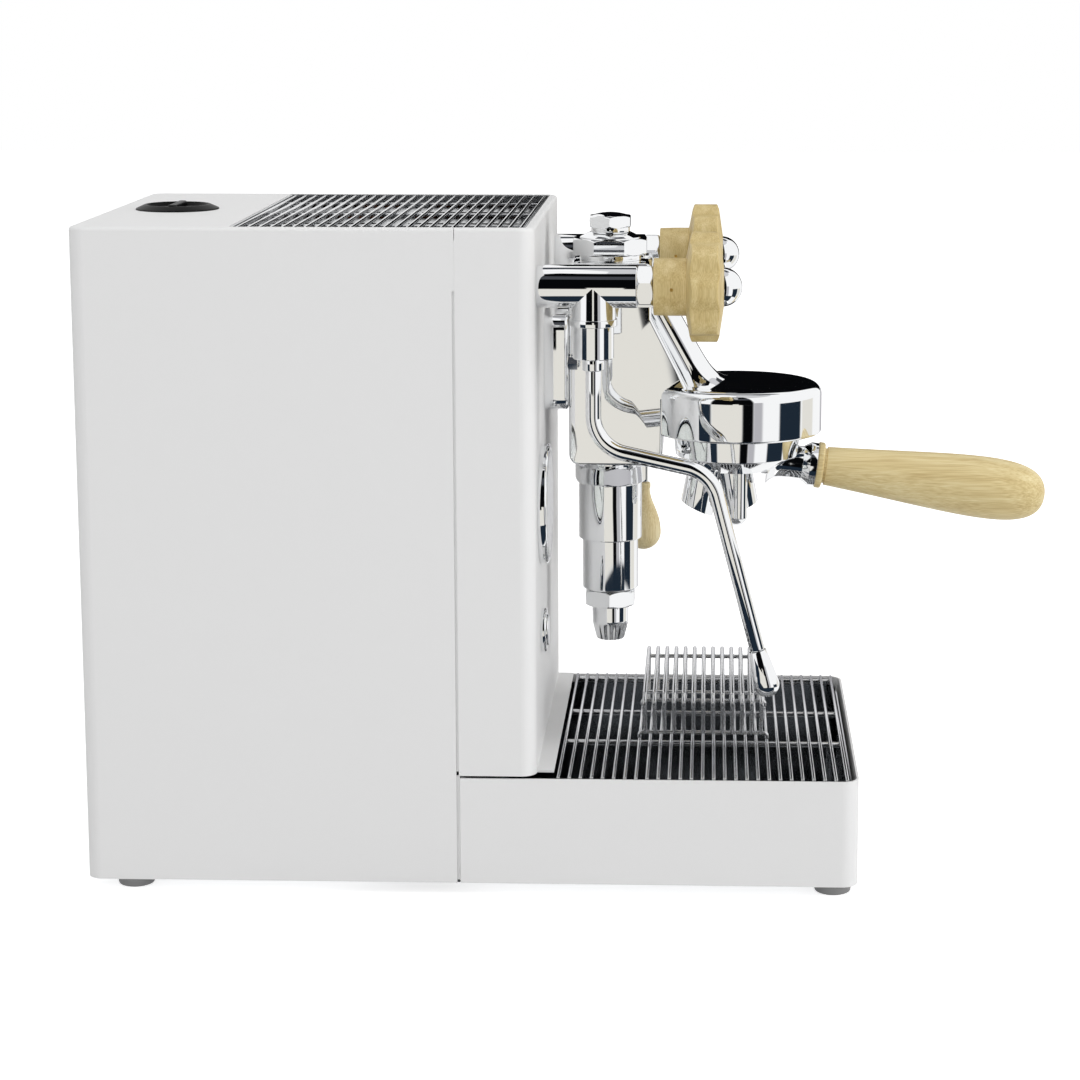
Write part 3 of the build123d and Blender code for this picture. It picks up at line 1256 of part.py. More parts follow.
# Drip tray: painted drawer, steel pan, wire grid and the cup stand on it
tray_back = seam_y - SEAM_TIGHT
tray_front = ahead(TRAY_REACH)
tray_mid = (tray_back + tray_front) / 2
tray_length = tray_back - tray_front
with BuildPart() as tray_box:
    with BuildSketch(Plane.XY.offset(FOOT_HEIGHT)) as tray_plan:
        with Locations((0, tray_mid)):
            Rectangle(BODY_WIDTH, tray_length)
        fillet(tray_plan.vertices().group_by(Axis.Y)[0], radius=TRAY_CORNER)
    extrude(amount=TRAY_RIM - FOOT_HEIGHT)
    offset(amount=-TRAY_SHEET, openings=tray_box.faces().sort_by(Axis.Z)[-1])
    with BuildSketch(Plane.XY.offset(TRAY_FLOOR)) as tray_floor_plan:
        with Locations((0, tray_mid)):
            Rectangle(BODY_WIDTH - TRAY_SHEET, tray_length - TRAY_SHEET)
        fillet(tray_floor_plan.vertices().group_by(Axis.Y)[0], radius=TRAY_CORNER)
    extrude(amount=TRAY_SHEET)
    with BuildSketch(Plane.XY.offset(FOOT_HEIGHT)) as skirt_plan:
        with Locations((0, tray_mid + TRAY_SHEET)):
            Rectangle(BODY_WIDTH - 2 * TRAY_SHEET, tray_length)
        fillet(skirt_plan.vertices().group_by(Axis.Y)[0], radius=TRAY_CORNER - TRAY_SHEET)
    extrude(amount=TRAY_FLOOR - FOOT_HEIGHT, mode=Mode.SUBTRACT)
save(tray_box, "tray_box")

pan_floor = TRAY_FLOOR + TRAY_SHEET
grid_rod_z = TRAY_RIM - WIRE / 2 - GRID_ROD / 2 + WELD
pan_rim = grid_rod_z - GRID_ROD / 2 - FREE_FIT
with BuildPart() as tray_pan:
    with BuildSketch(Plane.XY.offset(pan_floor)) as pan_plan:
        with Locations((0, tray_mid)):
            Rectangle(BODY_WIDTH - 2 * TRAY_SHEET - 2 * PAN_GAP, tray_length - 2 * TRAY_SHEET - 2 * PAN_GAP)
        fillet(pan_plan.vertices(), radius=TRAY_CORNER - PAN_GAP)
    extrude(amount=pan_rim - pan_floor)
    offset(amount=-PAN_SHEET, openings=tray_pan.faces().sort_by(Axis.Z)[-1])
save(tray_pan, "tray_pan")

grid_top = TRAY_RIM + WIRE / 2
grid_half = HALF_WIDTH - TRAY_SHEET - 4 * FREE_FIT
grid_length = (GRID_WIRES - 1) * GRID_PITCH
grid_mid = ahead(GRID_START + grid_length / 2)
with BuildPart() as tray_grid:
    with BuildSketch(Plane.YZ.offset(-grid_half)):
        with Locations((grid_mid, TRAY_RIM)):
            with GridLocations(GRID_PITCH, 0, GRID_WIRES, 1):
                RegularPolygon(WIRE / 2, WIRE_SIDES, rotation=180 / WIRE_SIDES)
    extrude(amount=2 * grid_half)
    with BuildSketch(Plane.XZ.offset(-grid_mid - grid_length / 2 - WIRE / 2)):
        with Locations((0, grid_rod_z)):
            with GridLocations(2 * GRID_ROD_X, 0, 2, 1):
                RegularPolygon(GRID_ROD / 2, WIRE_SIDES, rotation=180 / WIRE_SIDES)
            with GridLocations(2 * (tongue_half - PAN_SHEET / 2), 0, 2, 1):
                RegularPolygon(GRID_ROD / 2, WIRE_SIDES, rotation=180 / WIRE_SIDES)
    extrude(amount=grid_length + WIRE)
save(tray_grid, "tray_grid")

# Cup stand: bent wires whose legs lean in to two foot bars with turned-down ends
stand_foot = grid_top + FREE_FIT
stand_bar_z = stand_foot + STAND_BAR_RISE
stand_top_z = stand_foot + STAND_HEIGHT - STAND_WIRE / 2
stand_rod_z = stand_top_z - STAND_WIRE / 2 - STAND_ROD / 2 + WELD
stand_length = (STAND_WIRES - 1) * STAND_PITCH
bar_half = STAND_BAR_STEPS * GRID_PITCH / 2
with BuildPart() as stand_wire:
    with BuildLine() as wire_route:
        FilletPolyline(
            (-STAND_FOOT_X, grid_mid, stand_bar_z),
            (-STAND_HALF, grid_mid, stand_top_z),
            (STAND_HALF, grid_mid, stand_top_z),
            (STAND_FOOT_X, grid_mid, stand_bar_z),
            radius=STAND_BEND,
        )
    with BuildSketch(Plane(origin=wire_route.line @ 0, z_dir=wire_route.line % 0)):
        RegularPolygon(STAND_WIRE / 2, WIRE_SIDES)
    sweep(path=wire_route.line)
with BuildPart() as stand_bar:
    with BuildLine() as bar_route:
        FilletPolyline(
            (0, grid_mid + bar_half, stand_foot),
            (0, grid_mid + bar_half, stand_bar_z),
            (0, grid_mid - bar_half, stand_bar_z),
            (0, grid_mid - bar_half, stand_foot),
            radius=STAND_ROD,
        )
    with BuildSketch(Plane(origin=bar_route.line @ 0, z_dir=bar_route.line % 0)):
        RegularPolygon(STAND_ROD / 2, WIRE_SIDES)
    sweep(path=bar_route.line)
with BuildPart() as cup_stand:
    with BuildSketch(Plane.XZ.offset(-grid_mid - stand_length / 2 - STAND_WIRE / 2)):
        with Locations((-STAND_ROD_X, stand_rod_z), (STAND_ROD_X, stand_rod_z)):
            RegularPolygon(STAND_ROD / 2, WIRE_SIDES)
    extrude(amount=stand_length + STAND_WIRE)
    with Locations((-STAND_FOOT_X, 0), (STAND_FOOT_X, 0)):
        add(stand_bar.part)
    with GridLocations(STAND_PITCH, STAND_PITCH, 1, STAND_WIRES):
        add(stand_wire.part)
save(cup_stand, "cup_stand")
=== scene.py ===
"""Dress of the box-shaped espresso machine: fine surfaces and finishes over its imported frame.

Sizes are in millimetres unless a line says otherwise. X runs along the machine's width, -Y to its front.
"""

from math import radians, sin, cos, pi

import bpy
import numpy as np
from mathutils import Matrix


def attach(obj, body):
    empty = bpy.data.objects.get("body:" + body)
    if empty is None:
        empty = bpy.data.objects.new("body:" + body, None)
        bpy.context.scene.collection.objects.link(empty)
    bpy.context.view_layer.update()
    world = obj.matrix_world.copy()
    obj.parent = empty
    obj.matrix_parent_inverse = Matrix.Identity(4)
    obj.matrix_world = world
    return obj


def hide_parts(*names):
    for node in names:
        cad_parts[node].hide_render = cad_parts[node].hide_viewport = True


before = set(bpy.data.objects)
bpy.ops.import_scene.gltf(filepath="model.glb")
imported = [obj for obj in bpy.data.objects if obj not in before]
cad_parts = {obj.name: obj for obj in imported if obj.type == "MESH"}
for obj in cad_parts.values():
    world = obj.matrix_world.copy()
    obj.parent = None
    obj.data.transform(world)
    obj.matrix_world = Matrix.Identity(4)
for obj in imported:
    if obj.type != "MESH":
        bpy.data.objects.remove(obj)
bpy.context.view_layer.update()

# Feet: four pucks of grey rubber that keep the machine from sliding on the worktop.
# Each is moulded a little narrower at the floor and screwed through its middle into the base plate.
PANEL_Y = 18.0  # face of the front panel
BACK_Y = 260.9  # outer face of the back
FOOT_X, FOOT_HEIGHT = 95.0, 6.5
FRONT_FOOT, REAR_FOOT = 158.7, 24.0  # ahead of the panel, and in from the back
UP = (0, 0, 1)


def ahead(distance):
    """Y = panel face - distance, the place of a point in front of the panel."""
    return PANEL_Y - distance


def linear(hex_code):
    """sRGB hex to linear: c / 12.92 below 0.04045, else ((c + 0.055) / 1.055) ^ 2.4."""
    c = np.array([int(hex_code[i : i + 2], 16) for i in (1, 3, 5)]) / 255
    return (*np.where(c < 0.04045, c / 12.92, ((c + 0.055) / 1.055) ** 2.4), 1.0)


def add(tree, kind, **inputs):
    """One shader node with its inputs set by name, or by number as i0, i1; a socket as value is linked."""
    node = tree.nodes.new(kind)
    for key, value in inputs.items():
        by_number = key[0] == "i" and key[1:].isdigit()
        socket = node.inputs[int(key[1:]) if by_number else key.replace("_", " ")]
        if isinstance(value, bpy.types.NodeSocket):
            tree.links.new(value, socket)
        else:
            socket.default_value = value
    return node


def finish_of(name, colour, rough, metal=0.0, rough_swing=0.05, grain=(1.5, 1.5, 1.5), bump=0.0, **sockets):
    """Even finish: roughness swings with noise of the given grain in mm, and bump raises it by micrometres."""
    mat = bpy.data.materials.new(name)
    mat.use_nodes = True
    tree = mat.node_tree
    shader = tree.nodes["Principled BSDF"]
    shader.inputs["Base Color"].default_value = linear(colour)
    shader.inputs["Metallic"].default_value = metal
    for key, value in sockets.items():
        shader.inputs[key.replace("_", " ")].default_value = value
    place = add(tree, "ShaderNodeTexCoord").outputs["Object"]
    scaled = add(tree, "ShaderNodeMapping", Vector=place, Scale=[1000 / g for g in grain])
    noise = add(tree, "ShaderNodeTexNoise", Vector=scaled.outputs["Vector"], Scale=1.0, Detail=4.0)
    swing = add(tree, "ShaderNodeMapRange", Value=noise.outputs["Fac"],
                To_Min=rough - rough_swing, To_Max=rough + rough_swing)
    tree.links.new(swing.outputs["Result"], shader.inputs["Roughness"])
    if bump:
        raised = add(tree, "ShaderNodeBump", Height=noise.outputs["Fac"], Strength=1.0, Distance=bump * 1e-6)
        tree.links.new(raised.outputs["Normal"], shader.inputs["Normal"])
    return mat


def rings(points, close):
    """Quads between the rows of a grid of points (rows, columns, 3); columns wrap when close is true."""
    rows, cols = points.shape[:2]
    i, j = np.meshgrid(np.arange(rows - 1), np.arange(cols if close else cols - 1), indexing="ij")
    k = (j + 1) % cols
    quads = np.stack([i * cols + j, i * cols + k, (i + 1) * cols + k, (i + 1) * cols + j], -1)
    return points.reshape(-1, 3), quads.reshape(-1, 4)


def outward(surface):
    """Flip the quads where the signed volume, the sum of a . (b x c) / 6 over triangles, is negative."""
    v, q = surface
    volume = 0.0
    for tri in (q[:, [0, 1, 2]], q[:, [0, 2, 3]]):
        a, b, c = v[tri[:, 0]], v[tri[:, 1]], v[tri[:, 2]]
        volume += np.einsum("ij,ij->i", a, np.cross(b, c)).sum()
    return v, q if volume > 0 else q[:, ::-1]


def piece(name, surfaces, material, body, slot, *nodes, sharp=32):
    """Join closed surfaces in mm into one object in metres, smooth up to the sharp angle, seated on its body."""
    verts, quads, start = [], [], 0
    for surface in surfaces:
        v, q = outward(surface)
        verts.append(v)
        quads.append(q + start)
        start += len(v)
    mesh = bpy.data.meshes.new(name)
    mesh.from_pydata((np.concatenate(verts) * 0.001).tolist(), [], np.concatenate(quads).tolist())
    mesh.materials.append(material)
    mesh.shade_smooth()
    mesh.set_sharp_from_angle(angle=radians(sharp))
    obj = bpy.data.objects.new(name, mesh)
    bpy.context.scene.collection.objects.link(obj)
    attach(obj, body)
    if nodes:
        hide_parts(*nodes)
    return obj


def basis(direction):
    """Two unit vectors across a direction: x = world X made square to it, y = direction x x."""
    d = np.asarray(direction, float)
    d = d / np.linalg.norm(d)
    x = np.array([1.0, 0, 0]) if abs(d[0]) < 0.9 else np.array([0, 1.0, 0])
    x = x - d * x.dot(d)
    x = x / np.linalg.norm(x)
    return x, np.cross(d, x), d


def rounded(points, radius, steps=5):
    """Open outline whose inner corners are arcs, centre + (s sin((1 - t) w) + e sin(t w)) / sin w.

    The radius is one number or one for each corner; an arc takes at most 0.49 of the shorter run beside it.
    """
    p = np.asarray(points, float)
    radii = np.broadcast_to(radius, len(p) - 2)
    t = np.linspace(0, 1, steps + 1)[:, None]
    out = [p[0]]
    for a, b, c, r in zip(p[:-2], p[1:-1], p[2:], radii):
        before, after = np.linalg.norm(a - b), np.linalg.norm(c - b)
        u, w = (a - b) / before, (c - b) / after
        half = np.arccos(np.clip(u.dot(w), -1, 1)) / 2
        if r <= 0 or half > 1.55:
            out.append(b)
            continue
        reach = min(r / np.tan(half), 0.49 * min(before, after))
        r = reach * np.tan(half)
        centre = b + (u + w) / np.linalg.norm(u + w) * r / np.sin(half)
        s, e = b + u * reach - centre, b + w * reach - centre
        turn = np.arccos(np.clip(s.dot(e) / r**2, -1, 1))
        out.extend(centre + (np.sin((1 - t) * turn) * s + np.sin(t * turn) * e) / np.sin(turn))
    out.append(p[-1])
    return np.array(out)


def turned(outline, foot, axis, count=96):
    """Turned surface: foot + axis h + (x cos a + y sin a) r over an outline of (r, h)."""
    x, y, d = basis(axis)
    outline = np.asarray(outline, float)
    r, h = np.maximum(outline[:, 0], 1e-3), outline[:, 1]
    a = np.arange(count) * 2 * pi / count
    radial = np.cos(a)[:, None] * x + np.sin(a)[:, None] * y
    return rings(np.asarray(foot, float) + h[:, None, None] * d + r[:, None, None] * radial[None], True)


# Moulded rubber: flat mid grey with hardly any shine, its skin faintly pebbled.
grey_rubber = finish_of("moulded grey rubber", "#8C8C8C", 0.7, 0.0, 0.08, (0.6, 0.6, 0.6), bump=15.0)
foot_outline = rounded([(0, 0), (9.6, 0), (10.5, FOOT_HEIGHT), (0, FOOT_HEIGHT)], (1.2, 0.3))
foot_places = [(x, y, 0) for x in (-FOOT_X, FOOT_X) for y in (ahead(FRONT_FOOT), BACK_Y - REAR_FOOT)]
piece("rubber_feet", [turned(foot_outline, place, UP, 48) for place in foot_places],
      grey_rubber, "machine", "grey_rubber", "feet")


# Base plate and works: a folded plate of zinc-plated steel carries the boiler on its cradle, the pump, the
# control box and the tank. Copper pipes run to the group, and the mains inlet is clipped into the back.
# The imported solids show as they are.
def show(material, *nodes):
    """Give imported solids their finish, smooth up to edges of 30 degrees."""
    for node in nodes:
        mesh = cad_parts[node].data
        mesh.materials.clear()
        mesh.materials.append(material)
        mesh.shade_smooth()
        mesh.set_sharp_from_angle(angle=radians(30))


# Zinc plating: a soft grey sheen that clouds over from patch to patch.
zinc_sheet = finish_of("zinc-plated sheet steel", "#9EA1A4", 0.42, 1.0, 0.1, (9, 9, 9))
# Blow-moulded polyethylene: a cool milky white with a waxy sheen.
milky_plastic = finish_of("milky tank plastic", "#D5D9DA", 0.4, 0.0, 0.05, (3, 3, 3))
# Drawn copper: warm red-brown with long soft draw marks.
copper = finish_of("drawn copper", "#C07A55", 0.3, 1.0, 0.08, (12, 1, 1))
# Machined brass: a yellow metal, a little dulled by tool marks.
brass = finish_of("machined brass", "#C7A25A", 0.28, 1.0, 0.06, (1, 1, 1))
# Injection-moulded plastic with a spark-eroded grain: deep black whose highlights are broad and weak.
black_plastic = finish_of("fine-grained black plastic", "#080808", 0.42, 0.0, 0.06, (0.35, 0.35, 0.35),
                          bump=12.0, Specular_IOR_Level=0.12)
show(zinc_sheet, "base_frame", "boiler_cradle")
show(milky_plastic, "water_tank")
show(copper, "boiler", "group_pipes")
show(brass, "boiler_flange", "heating_element")
show(black_plastic, "control_box", "power_inlet", "pump")

# Casing: a rear housing and a front panel, folded from sheet steel and powder coated, meet in a seam on each
# side. Painted strips spot-welded inside the panel's flange back the seam, and a filler closes it above.
SEAM_X, SEAM_Y = 108.45, 59.1
SEAM_END = 327.0  # the seam is open up to this height


def block(outline, low, high, foot, axis, round_low=0.5, round_high=0.5, steps=5):
    """Prism of a closed convex outline (n, 2) along an axis, its end edges rolled in by quarter rounds."""
    x, y, d = basis(axis)
    o = np.asarray(outline, float)
    side = np.roll(o, -1, 0) - np.roll(o, 1, 0)
    normal = np.stack([side[:, 1], -side[:, 0]], 1) / np.linalg.norm(side, axis=1)[:, None]
    area = 0.5 * np.sum(o[:, 0] * np.roll(o[:, 1], -1) - o[:, 1] * np.roll(o[:, 0], -1))
    normal *= np.sign(area)
    c = np.linspace(0, pi / 2, steps + 1)
    inset = np.concatenate([round_low * (1 - np.sin(c)), round_high * (1 - np.sin(c[::-1]))])
    h = np.concatenate([low + round_low * (1 - np.cos(c)), high - round_high * (1 - np.cos(c[::-1]))])
    flat = o[None] - inset[:, None, None] * normal[None]
    middle = o.mean(0)
    flat = np.concatenate([middle + (flat[:1] - middle) * 1e-4, flat, middle + (flat[-1:] - middle) * 1e-4])
    h = np.concatenate([[low], h, [high]])
    grid = np.asarray(foot, float) + h[:, None, None] * d + flat[..., :1] * x + flat[..., 1:] * y
    return rings(grid, True)


def rounded_box(half_x, half_y, radius, steps=8):
    """Rectangle outline with round corners: corner centre + radius (cos a, sin a), in order round its middle."""
    a = np.linspace(0, pi / 2, steps + 1)
    out = []
    for k, (sx, sy) in enumerate(((1, 1), (-1, 1), (-1, -1), (1, -1))):
        c = np.array([sx * (half_x - radius), sy * (half_y - radius)])
        out.append(c + radius * np.stack([np.cos(a + k * pi / 2), np.sin(a + k * pi / 2)], 1))
    return np.concatenate(out)


# Powder coat: an even matt white, its faint orange peel drawn at 1.1 mm.
white_coat = finish_of("white powder coat, matt", "#E6E6E6", 0.5, rough_swing=0.04, grain=(1.1, 1.1, 1.1),
                       bump=6.0, Specular_IOR_Level=0.08)
show(white_coat, "housing", "front_panel")
panel_strip, tray_strip = rounded_box(0.3, 2.1, 0.2), rounded_box(0.3, 1.4, 0.2)
open_seam, filled_seam = rounded_box(0.6, 0.2, 0.1), rounded_box(0.6, 0.29, 0.05)
strips = []
for x in (-SEAM_X, SEAM_X):
    strips.append(block(panel_strip, 68, 350, (x, SEAM_Y, 0), UP, 0.2, 0.2))
    strips.append(block(tray_strip, 8, 66, (x, SEAM_Y + 1.3, 0), UP, 0.2, 0.2))
    strips.append(block(open_seam, 8, SEAM_END, (x * 1.007, SEAM_Y, 0), UP, 0.1, 0.1))
    strips.append(block(filled_seam, SEAM_END - 1, 352, (x * 1.0083, SEAM_Y, 0), UP, 0.1, 0.1))
piece("seam_backing", strips, white_coat, "machine", "white_paint")

# Filler cap: a shallow cone of black plastic, sunk in its middle, with a bar across for the fingers.
# It is injection-moulded in one piece, pushed into the filler hole behind the cup warmer, and lifts out.
BODY_TOP = 358.3
CAP_RADIUS, CAP_RIM, CAP_HEIGHT, CAP_FLOOR = 23.0, 18.2, 2.8, 0.7
cap_foot = (0, BACK_Y - 36.7, BODY_TOP)
cap_cone = rounded([(0, 0), (CAP_RADIUS, 0), (CAP_RADIUS, 0.6), (CAP_RIM, CAP_HEIGHT), (17.3, CAP_HEIGHT),
                    (15.5, CAP_FLOOR), (0, CAP_FLOOR)], (0.1, 0.3, 0.5, 0.4, 0.6))
finger_bar = rounded_box(16.6, 2.2, 1.6)
piece("filler_cap", [turned(cap_cone, cap_foot, UP), block(finger_bar, 0.6, 3.5, cap_foot, UP, 0.1, 0.8)],
      black_plastic, "tank_cap", "black_plastic", "tank_cap")

# Cup warmer: a pressed stainless pan let into the top, with a loose grate of drawn wires in it.
# The wires are laid across three rods and spot-welded.
PITCH = 5.92  # from wire to wire
WIRE_RADIUS = 1.0
GRATE_MIDDLE = ahead(-81.5)


def tube(path, radius, count=24, tip=0.25):
    """Round bar along a path: p + (x cos a + y sin a) r, where x is carried along without twist.

    Each end is rolled in by a quarter round of tip x radius.
    """
    p = np.asarray(path, float)
    along = np.gradient(p, axis=0)
    along /= np.linalg.norm(along, axis=1)[:, None]
    x = basis(along[0])[0]
    across = []
    for direction in along:
        x = x - direction * x.dot(direction)
        x = x / np.linalg.norm(x)
        across.append((x, np.cross(direction, x)))
    a = np.arange(count) * 2 * pi / count
    radial = np.array([np.cos(a)[:, None] * u + np.sin(a)[:, None] * w for u, w in across])
    roll = np.array([pi / 2, pi / 3, pi / 6, 0.0])[:, None, None]
    depth, inset = tip * radius * (1 - np.sin(roll)), tip * radius * (1 - np.cos(roll))
    head = p[0] + along[0] * depth + radial[0] * (radius - inset)
    tail = (p[-1] - along[-1] * depth + radial[-1] * (radius - inset))[::-1]
    body = p[1:-1, None] + radial[1:-1] * radius
    first, last = p[:1, None] + radial[:1] * 1e-3, p[-1:, None] + radial[-1:] * 1e-3
    return rings(np.concatenate([first, head, body, tail, last]), True)


def wire_mat(half, count, middle, z, rods, rod_radius, rod_z):
    """Wires along X at one pitch, on rods along Y that reach 1 mm past the outer wires."""
    span = (count - 1) * PITCH / 2
    bars = []
    for y in np.linspace(middle - span, middle + span, count):
        bars.append(tube([(-half, y, z), (0, y, z), (half, y, z)], WIRE_RADIUS, 12))
    for x in rods:
        ends = (middle - span - 1, middle, middle + span + 1)
        bars.append(tube([(x, y, rod_z) for y in ends], rod_radius, 12))
    return bars


# Bright-rolled stainless sheet: a grey mirror blurred by fine rolling lines.
sheet_steel = finish_of("bright-rolled stainless sheet", "#C4C6C8", 0.24, 1.0, 0.06, (0.5, 12, 0.5), bump=2.0)
# Drawn wire: bright, with the draw marks softening what it mirrors.
wire_steel = finish_of("bright drawn steel wire", "#DCDDDF", 0.17, 1.0, 0.04, (0.4, 8, 0.4))
show(sheet_steel, "cup_tray")
piece("cup_grate_wires",
      wire_mat(103.4, 26, GRATE_MIDDLE, BODY_TOP - 1.3, (-70, 0, 70), 1.3, BODY_TOP - 3.3),
      wire_steel, "cup_grate", "stainless_steel", "cup_grate")

# Drip tray: a powder-coated drawer that slides on the base plate's runners, with a deep-drawn stainless pan.
# Its grid has the same wires as the grate on four rods; the outer rods rest on the pan's rim.
GRID_MIDDLE = ahead(11.5 + 13 * PITCH)
GRID_Z = 64.6
# Polished pan: a darker mirror that mostly shows the grid's own shadow; its colour is set darker than the other
# stainless as painted shade for the tray's dark inside.
pan_steel_painted_shade = finish_of("polished stainless pan", "#A4A7AA", 0.1, 1.0, 0.03, (2, 2, 2))
show(white_coat, "tray_box")
show(pan_steel_painted_shade, "tray_pan")
piece("drip_grid_wires",
      wire_mat(107.6, 27, GRID_MIDDLE, GRID_Z, (-106.4, -31, 31, 106.4), 1.7, GRID_Z - 2.4),
      wire_steel, "tray_grid", "stainless_steel", "tray_grid")

# Cup stand: thirteen steel wires bent to a flat top with legs that lean in, so that a low cup stands higher.
# They are welded to two foot bars, which stand on the grid, and to two rods under the top.
STAND_PITCH, STAND_WIRE = 5.36, 1.2
STAND_TOP, STAND_FOOT = 96.2, 69.3
TOP_X, FOOT_BAR_X, ROD_X = 60.0, 33.5, 40.0
GRID_TOP = 65.9
stand = []
for y in GRID_MIDDLE + np.arange(-6, 7) * STAND_PITCH:
    bend = [(-FOOT_BAR_X, y, STAND_FOOT), (-TOP_X, y, STAND_TOP), (TOP_X, y, STAND_TOP), (FOOT_BAR_X, y, STAND_FOOT)]
    stand.append(tube(rounded(bend, 4.0, 12), STAND_WIRE, 12))
for x in (-FOOT_BAR_X, FOOT_BAR_X):
    rear, front = GRID_MIDDLE + 6 * PITCH, GRID_MIDDLE - 6 * PITCH
    bend = [(x, rear, GRID_TOP), (x, rear, STAND_FOOT), (x, front, STAND_FOOT), (x, front, GRID_TOP)]
    stand.append(tube(rounded(bend, 2.4, 12), STAND_WIRE, 12))
for x in (-ROD_X, ROD_X):
    stand.append(tube([(x, GRID_MIDDLE + y, STAND_TOP - 2.1) for y in (-33.4, 0, 33.4)], STAND_WIRE, 12))
piece("cup_stand_wires", stand, wire_steel, "cup_stand", "stainless_steel", "cup_stand")

# Valves: two brass tees, turned, polished and chromed, that stand out of the panel on their tails.
# A collar ring sits on each branch, a hexagon gland nut holds the packing, and a steel stem runs through it.
VALVE_X, VALVE_Z = 85.0, 325.6
BARREL_RADIUS, BARREL_REACH = 11.4, 52.8
BRANCH = 29.6  # ahead of the panel
BRANCH_FOOT, BRANCH_RADIUS = 287.4, 10.9
COLLAR_LOW, COLLAR_HIGH, COLLAR_RADIUS = 304.8, 308.6, 12.6
FORWARD = (0, -1, 0)


def nut(sides, flats, low, high, foot, axis, turn=0.0, chamfer=1.0):
    """Chamfered nut: r = min(flat / cos a', cone), where the cones meet the ends a little inside the corners."""
    x, y, d = basis(axis)
    count = 16 * sides
    a = np.arange(count) * 2 * pi / count
    step = 2 * pi / sides
    flat = flats / 2 / np.cos((a - turn + step / 2) % step - step / 2)
    depth = np.array([0, 0.15, 0.3, 0.45, 0.6, 0.8, 1.0, 1.3]) * chamfer
    h = np.concatenate([low + depth, high - depth[::-1]])
    near = np.minimum(h - low, high - h)
    cone = flats / 2 + near * (flats / 2 * (1 / cos(step / 2) - 1) / chamfer)
    r = np.minimum(flat[None], cone[:, None])
    r = np.concatenate([np.full((1, count), 1e-3), r, np.full((1, count), 1e-3)])
    h = np.concatenate([[low], h, [high]])
    radial = np.cos(a)[:, None] * x + np.sin(a)[:, None] * y
    return rings(np.asarray(foot, float) + h[:, None, None] * d + r[:, :, None] * radial[None], True)


# Polished chrome: a sharp, nearly colourless mirror, so its look is that of the cards round it.
chrome = finish_of("polished chrome on brass", "#F4F5F6", 0.035, 1.0, 0.012, (6, 6, 6))
barrel = rounded([(0, 0), (BARREL_RADIUS, 0), (BARREL_RADIUS, BARREL_REACH), (0, BARREL_REACH)], (0.3, 0.7))
branch = [(0, BRANCH_FOOT), (BRANCH_RADIUS - 0.5, BRANCH_FOOT), (BRANCH_RADIUS, BRANCH_FOOT + 0.5),
          (BRANCH_RADIUS, 306.0), (BRANCH_RADIUS + 1.0, 306.0), (11.39, VALVE_Z), (0, VALVE_Z)]
collar_ring = rounded([(0, COLLAR_LOW), (COLLAR_RADIUS, COLLAR_LOW), (COLLAR_RADIUS, COLLAR_HIGH),
                       (0, COLLAR_HIGH)], 0.35)
for side, kind in ((-1, "steam"), (1, "water")):
    branch_axis = (side * VALVE_X, ahead(BRANCH), 0)
    tee = [turned(barrel, (side * VALVE_X, PANEL_Y, VALVE_Z), FORWARD), turned(branch, branch_axis, UP),
           turned(collar_ring, branch_axis, UP)]
    piece(f"{kind}_valve_tee", tee, chrome, "machine", "chrome", f"{kind}_valve")
glands = [nut(6, 20.6, BARREL_REACH, 61.1, (side * VALVE_X, PANEL_Y, VALVE_Z), FORWARD, radians(15.9))
          for side in (-1, 1)]
piece("gland_hexes", glands, chrome, "machine", "chrome", "gland_nuts")
show(sheet_steel, "steam_stem", "water_stem")

# Valve knobs: hubs with eight-lobed discs, turned and cut from pale hardwood and oiled.
# Each is held on its stem by a brass grub screw, with a bright domed cap screwed on the front.
HUB_BACK, HUB_LENGTH, HUB_RADIUS = 61.4, 19.5, 15.25
DISC_BACK, DISC_FRONT = HUB_BACK + 19.0, HUB_BACK + 34.6
RIM_RADIUS, LOBES, LOBE_DEPTH = 29.0, 8, 2.6
DOME_RADIUS, DOME_CENTRE, DOME_FOOT = 10.33, HUB_BACK + 36.17, HUB_BACK + 36.5


def lobed_disc(foot):
    """Lobed disc: rim r(a) = 29 - 2.6 w^1.5, w = (1 - cos 8a) / 2, cut from a disc with shallow conical faces."""
    a = np.arange(320) * 2 * pi / 320
    rim = RIM_RADIUS - LOBE_DEPTH * ((1 - np.cos(LOBES * a)) / 2) ** 1.5
    ease, cone = 0.35, 2.3
    fall = 1.1 * (rim - (RIM_RADIUS - LOBE_DEPTH)) / LOBE_DEPTH
    flat = np.ones_like(a)
    r = [flat * 1e-3, flat * 14.0, flat * 25.8, rim - ease, rim,
         rim, rim - ease, flat * 25.8, flat * 10.3, flat * 1e-3]
    h = [flat * (DISC_BACK - cone), flat * (DISC_BACK - cone), flat * DISC_BACK, DISC_BACK + fall - 0.1,
         DISC_BACK + fall + ease, DISC_FRONT - fall - ease, DISC_FRONT - fall + 0.1, flat * DISC_FRONT,
         flat * (DISC_FRONT + cone), flat * (DISC_FRONT + cone)]
    radial = np.stack([np.cos(a), a * 0, np.sin(a)], 1)
    grid = np.array(h)[:, :, None] * np.array(FORWARD) + np.array(r)[:, :, None] * radial[None]
    return rings(np.asarray(foot, float) + grid, True)


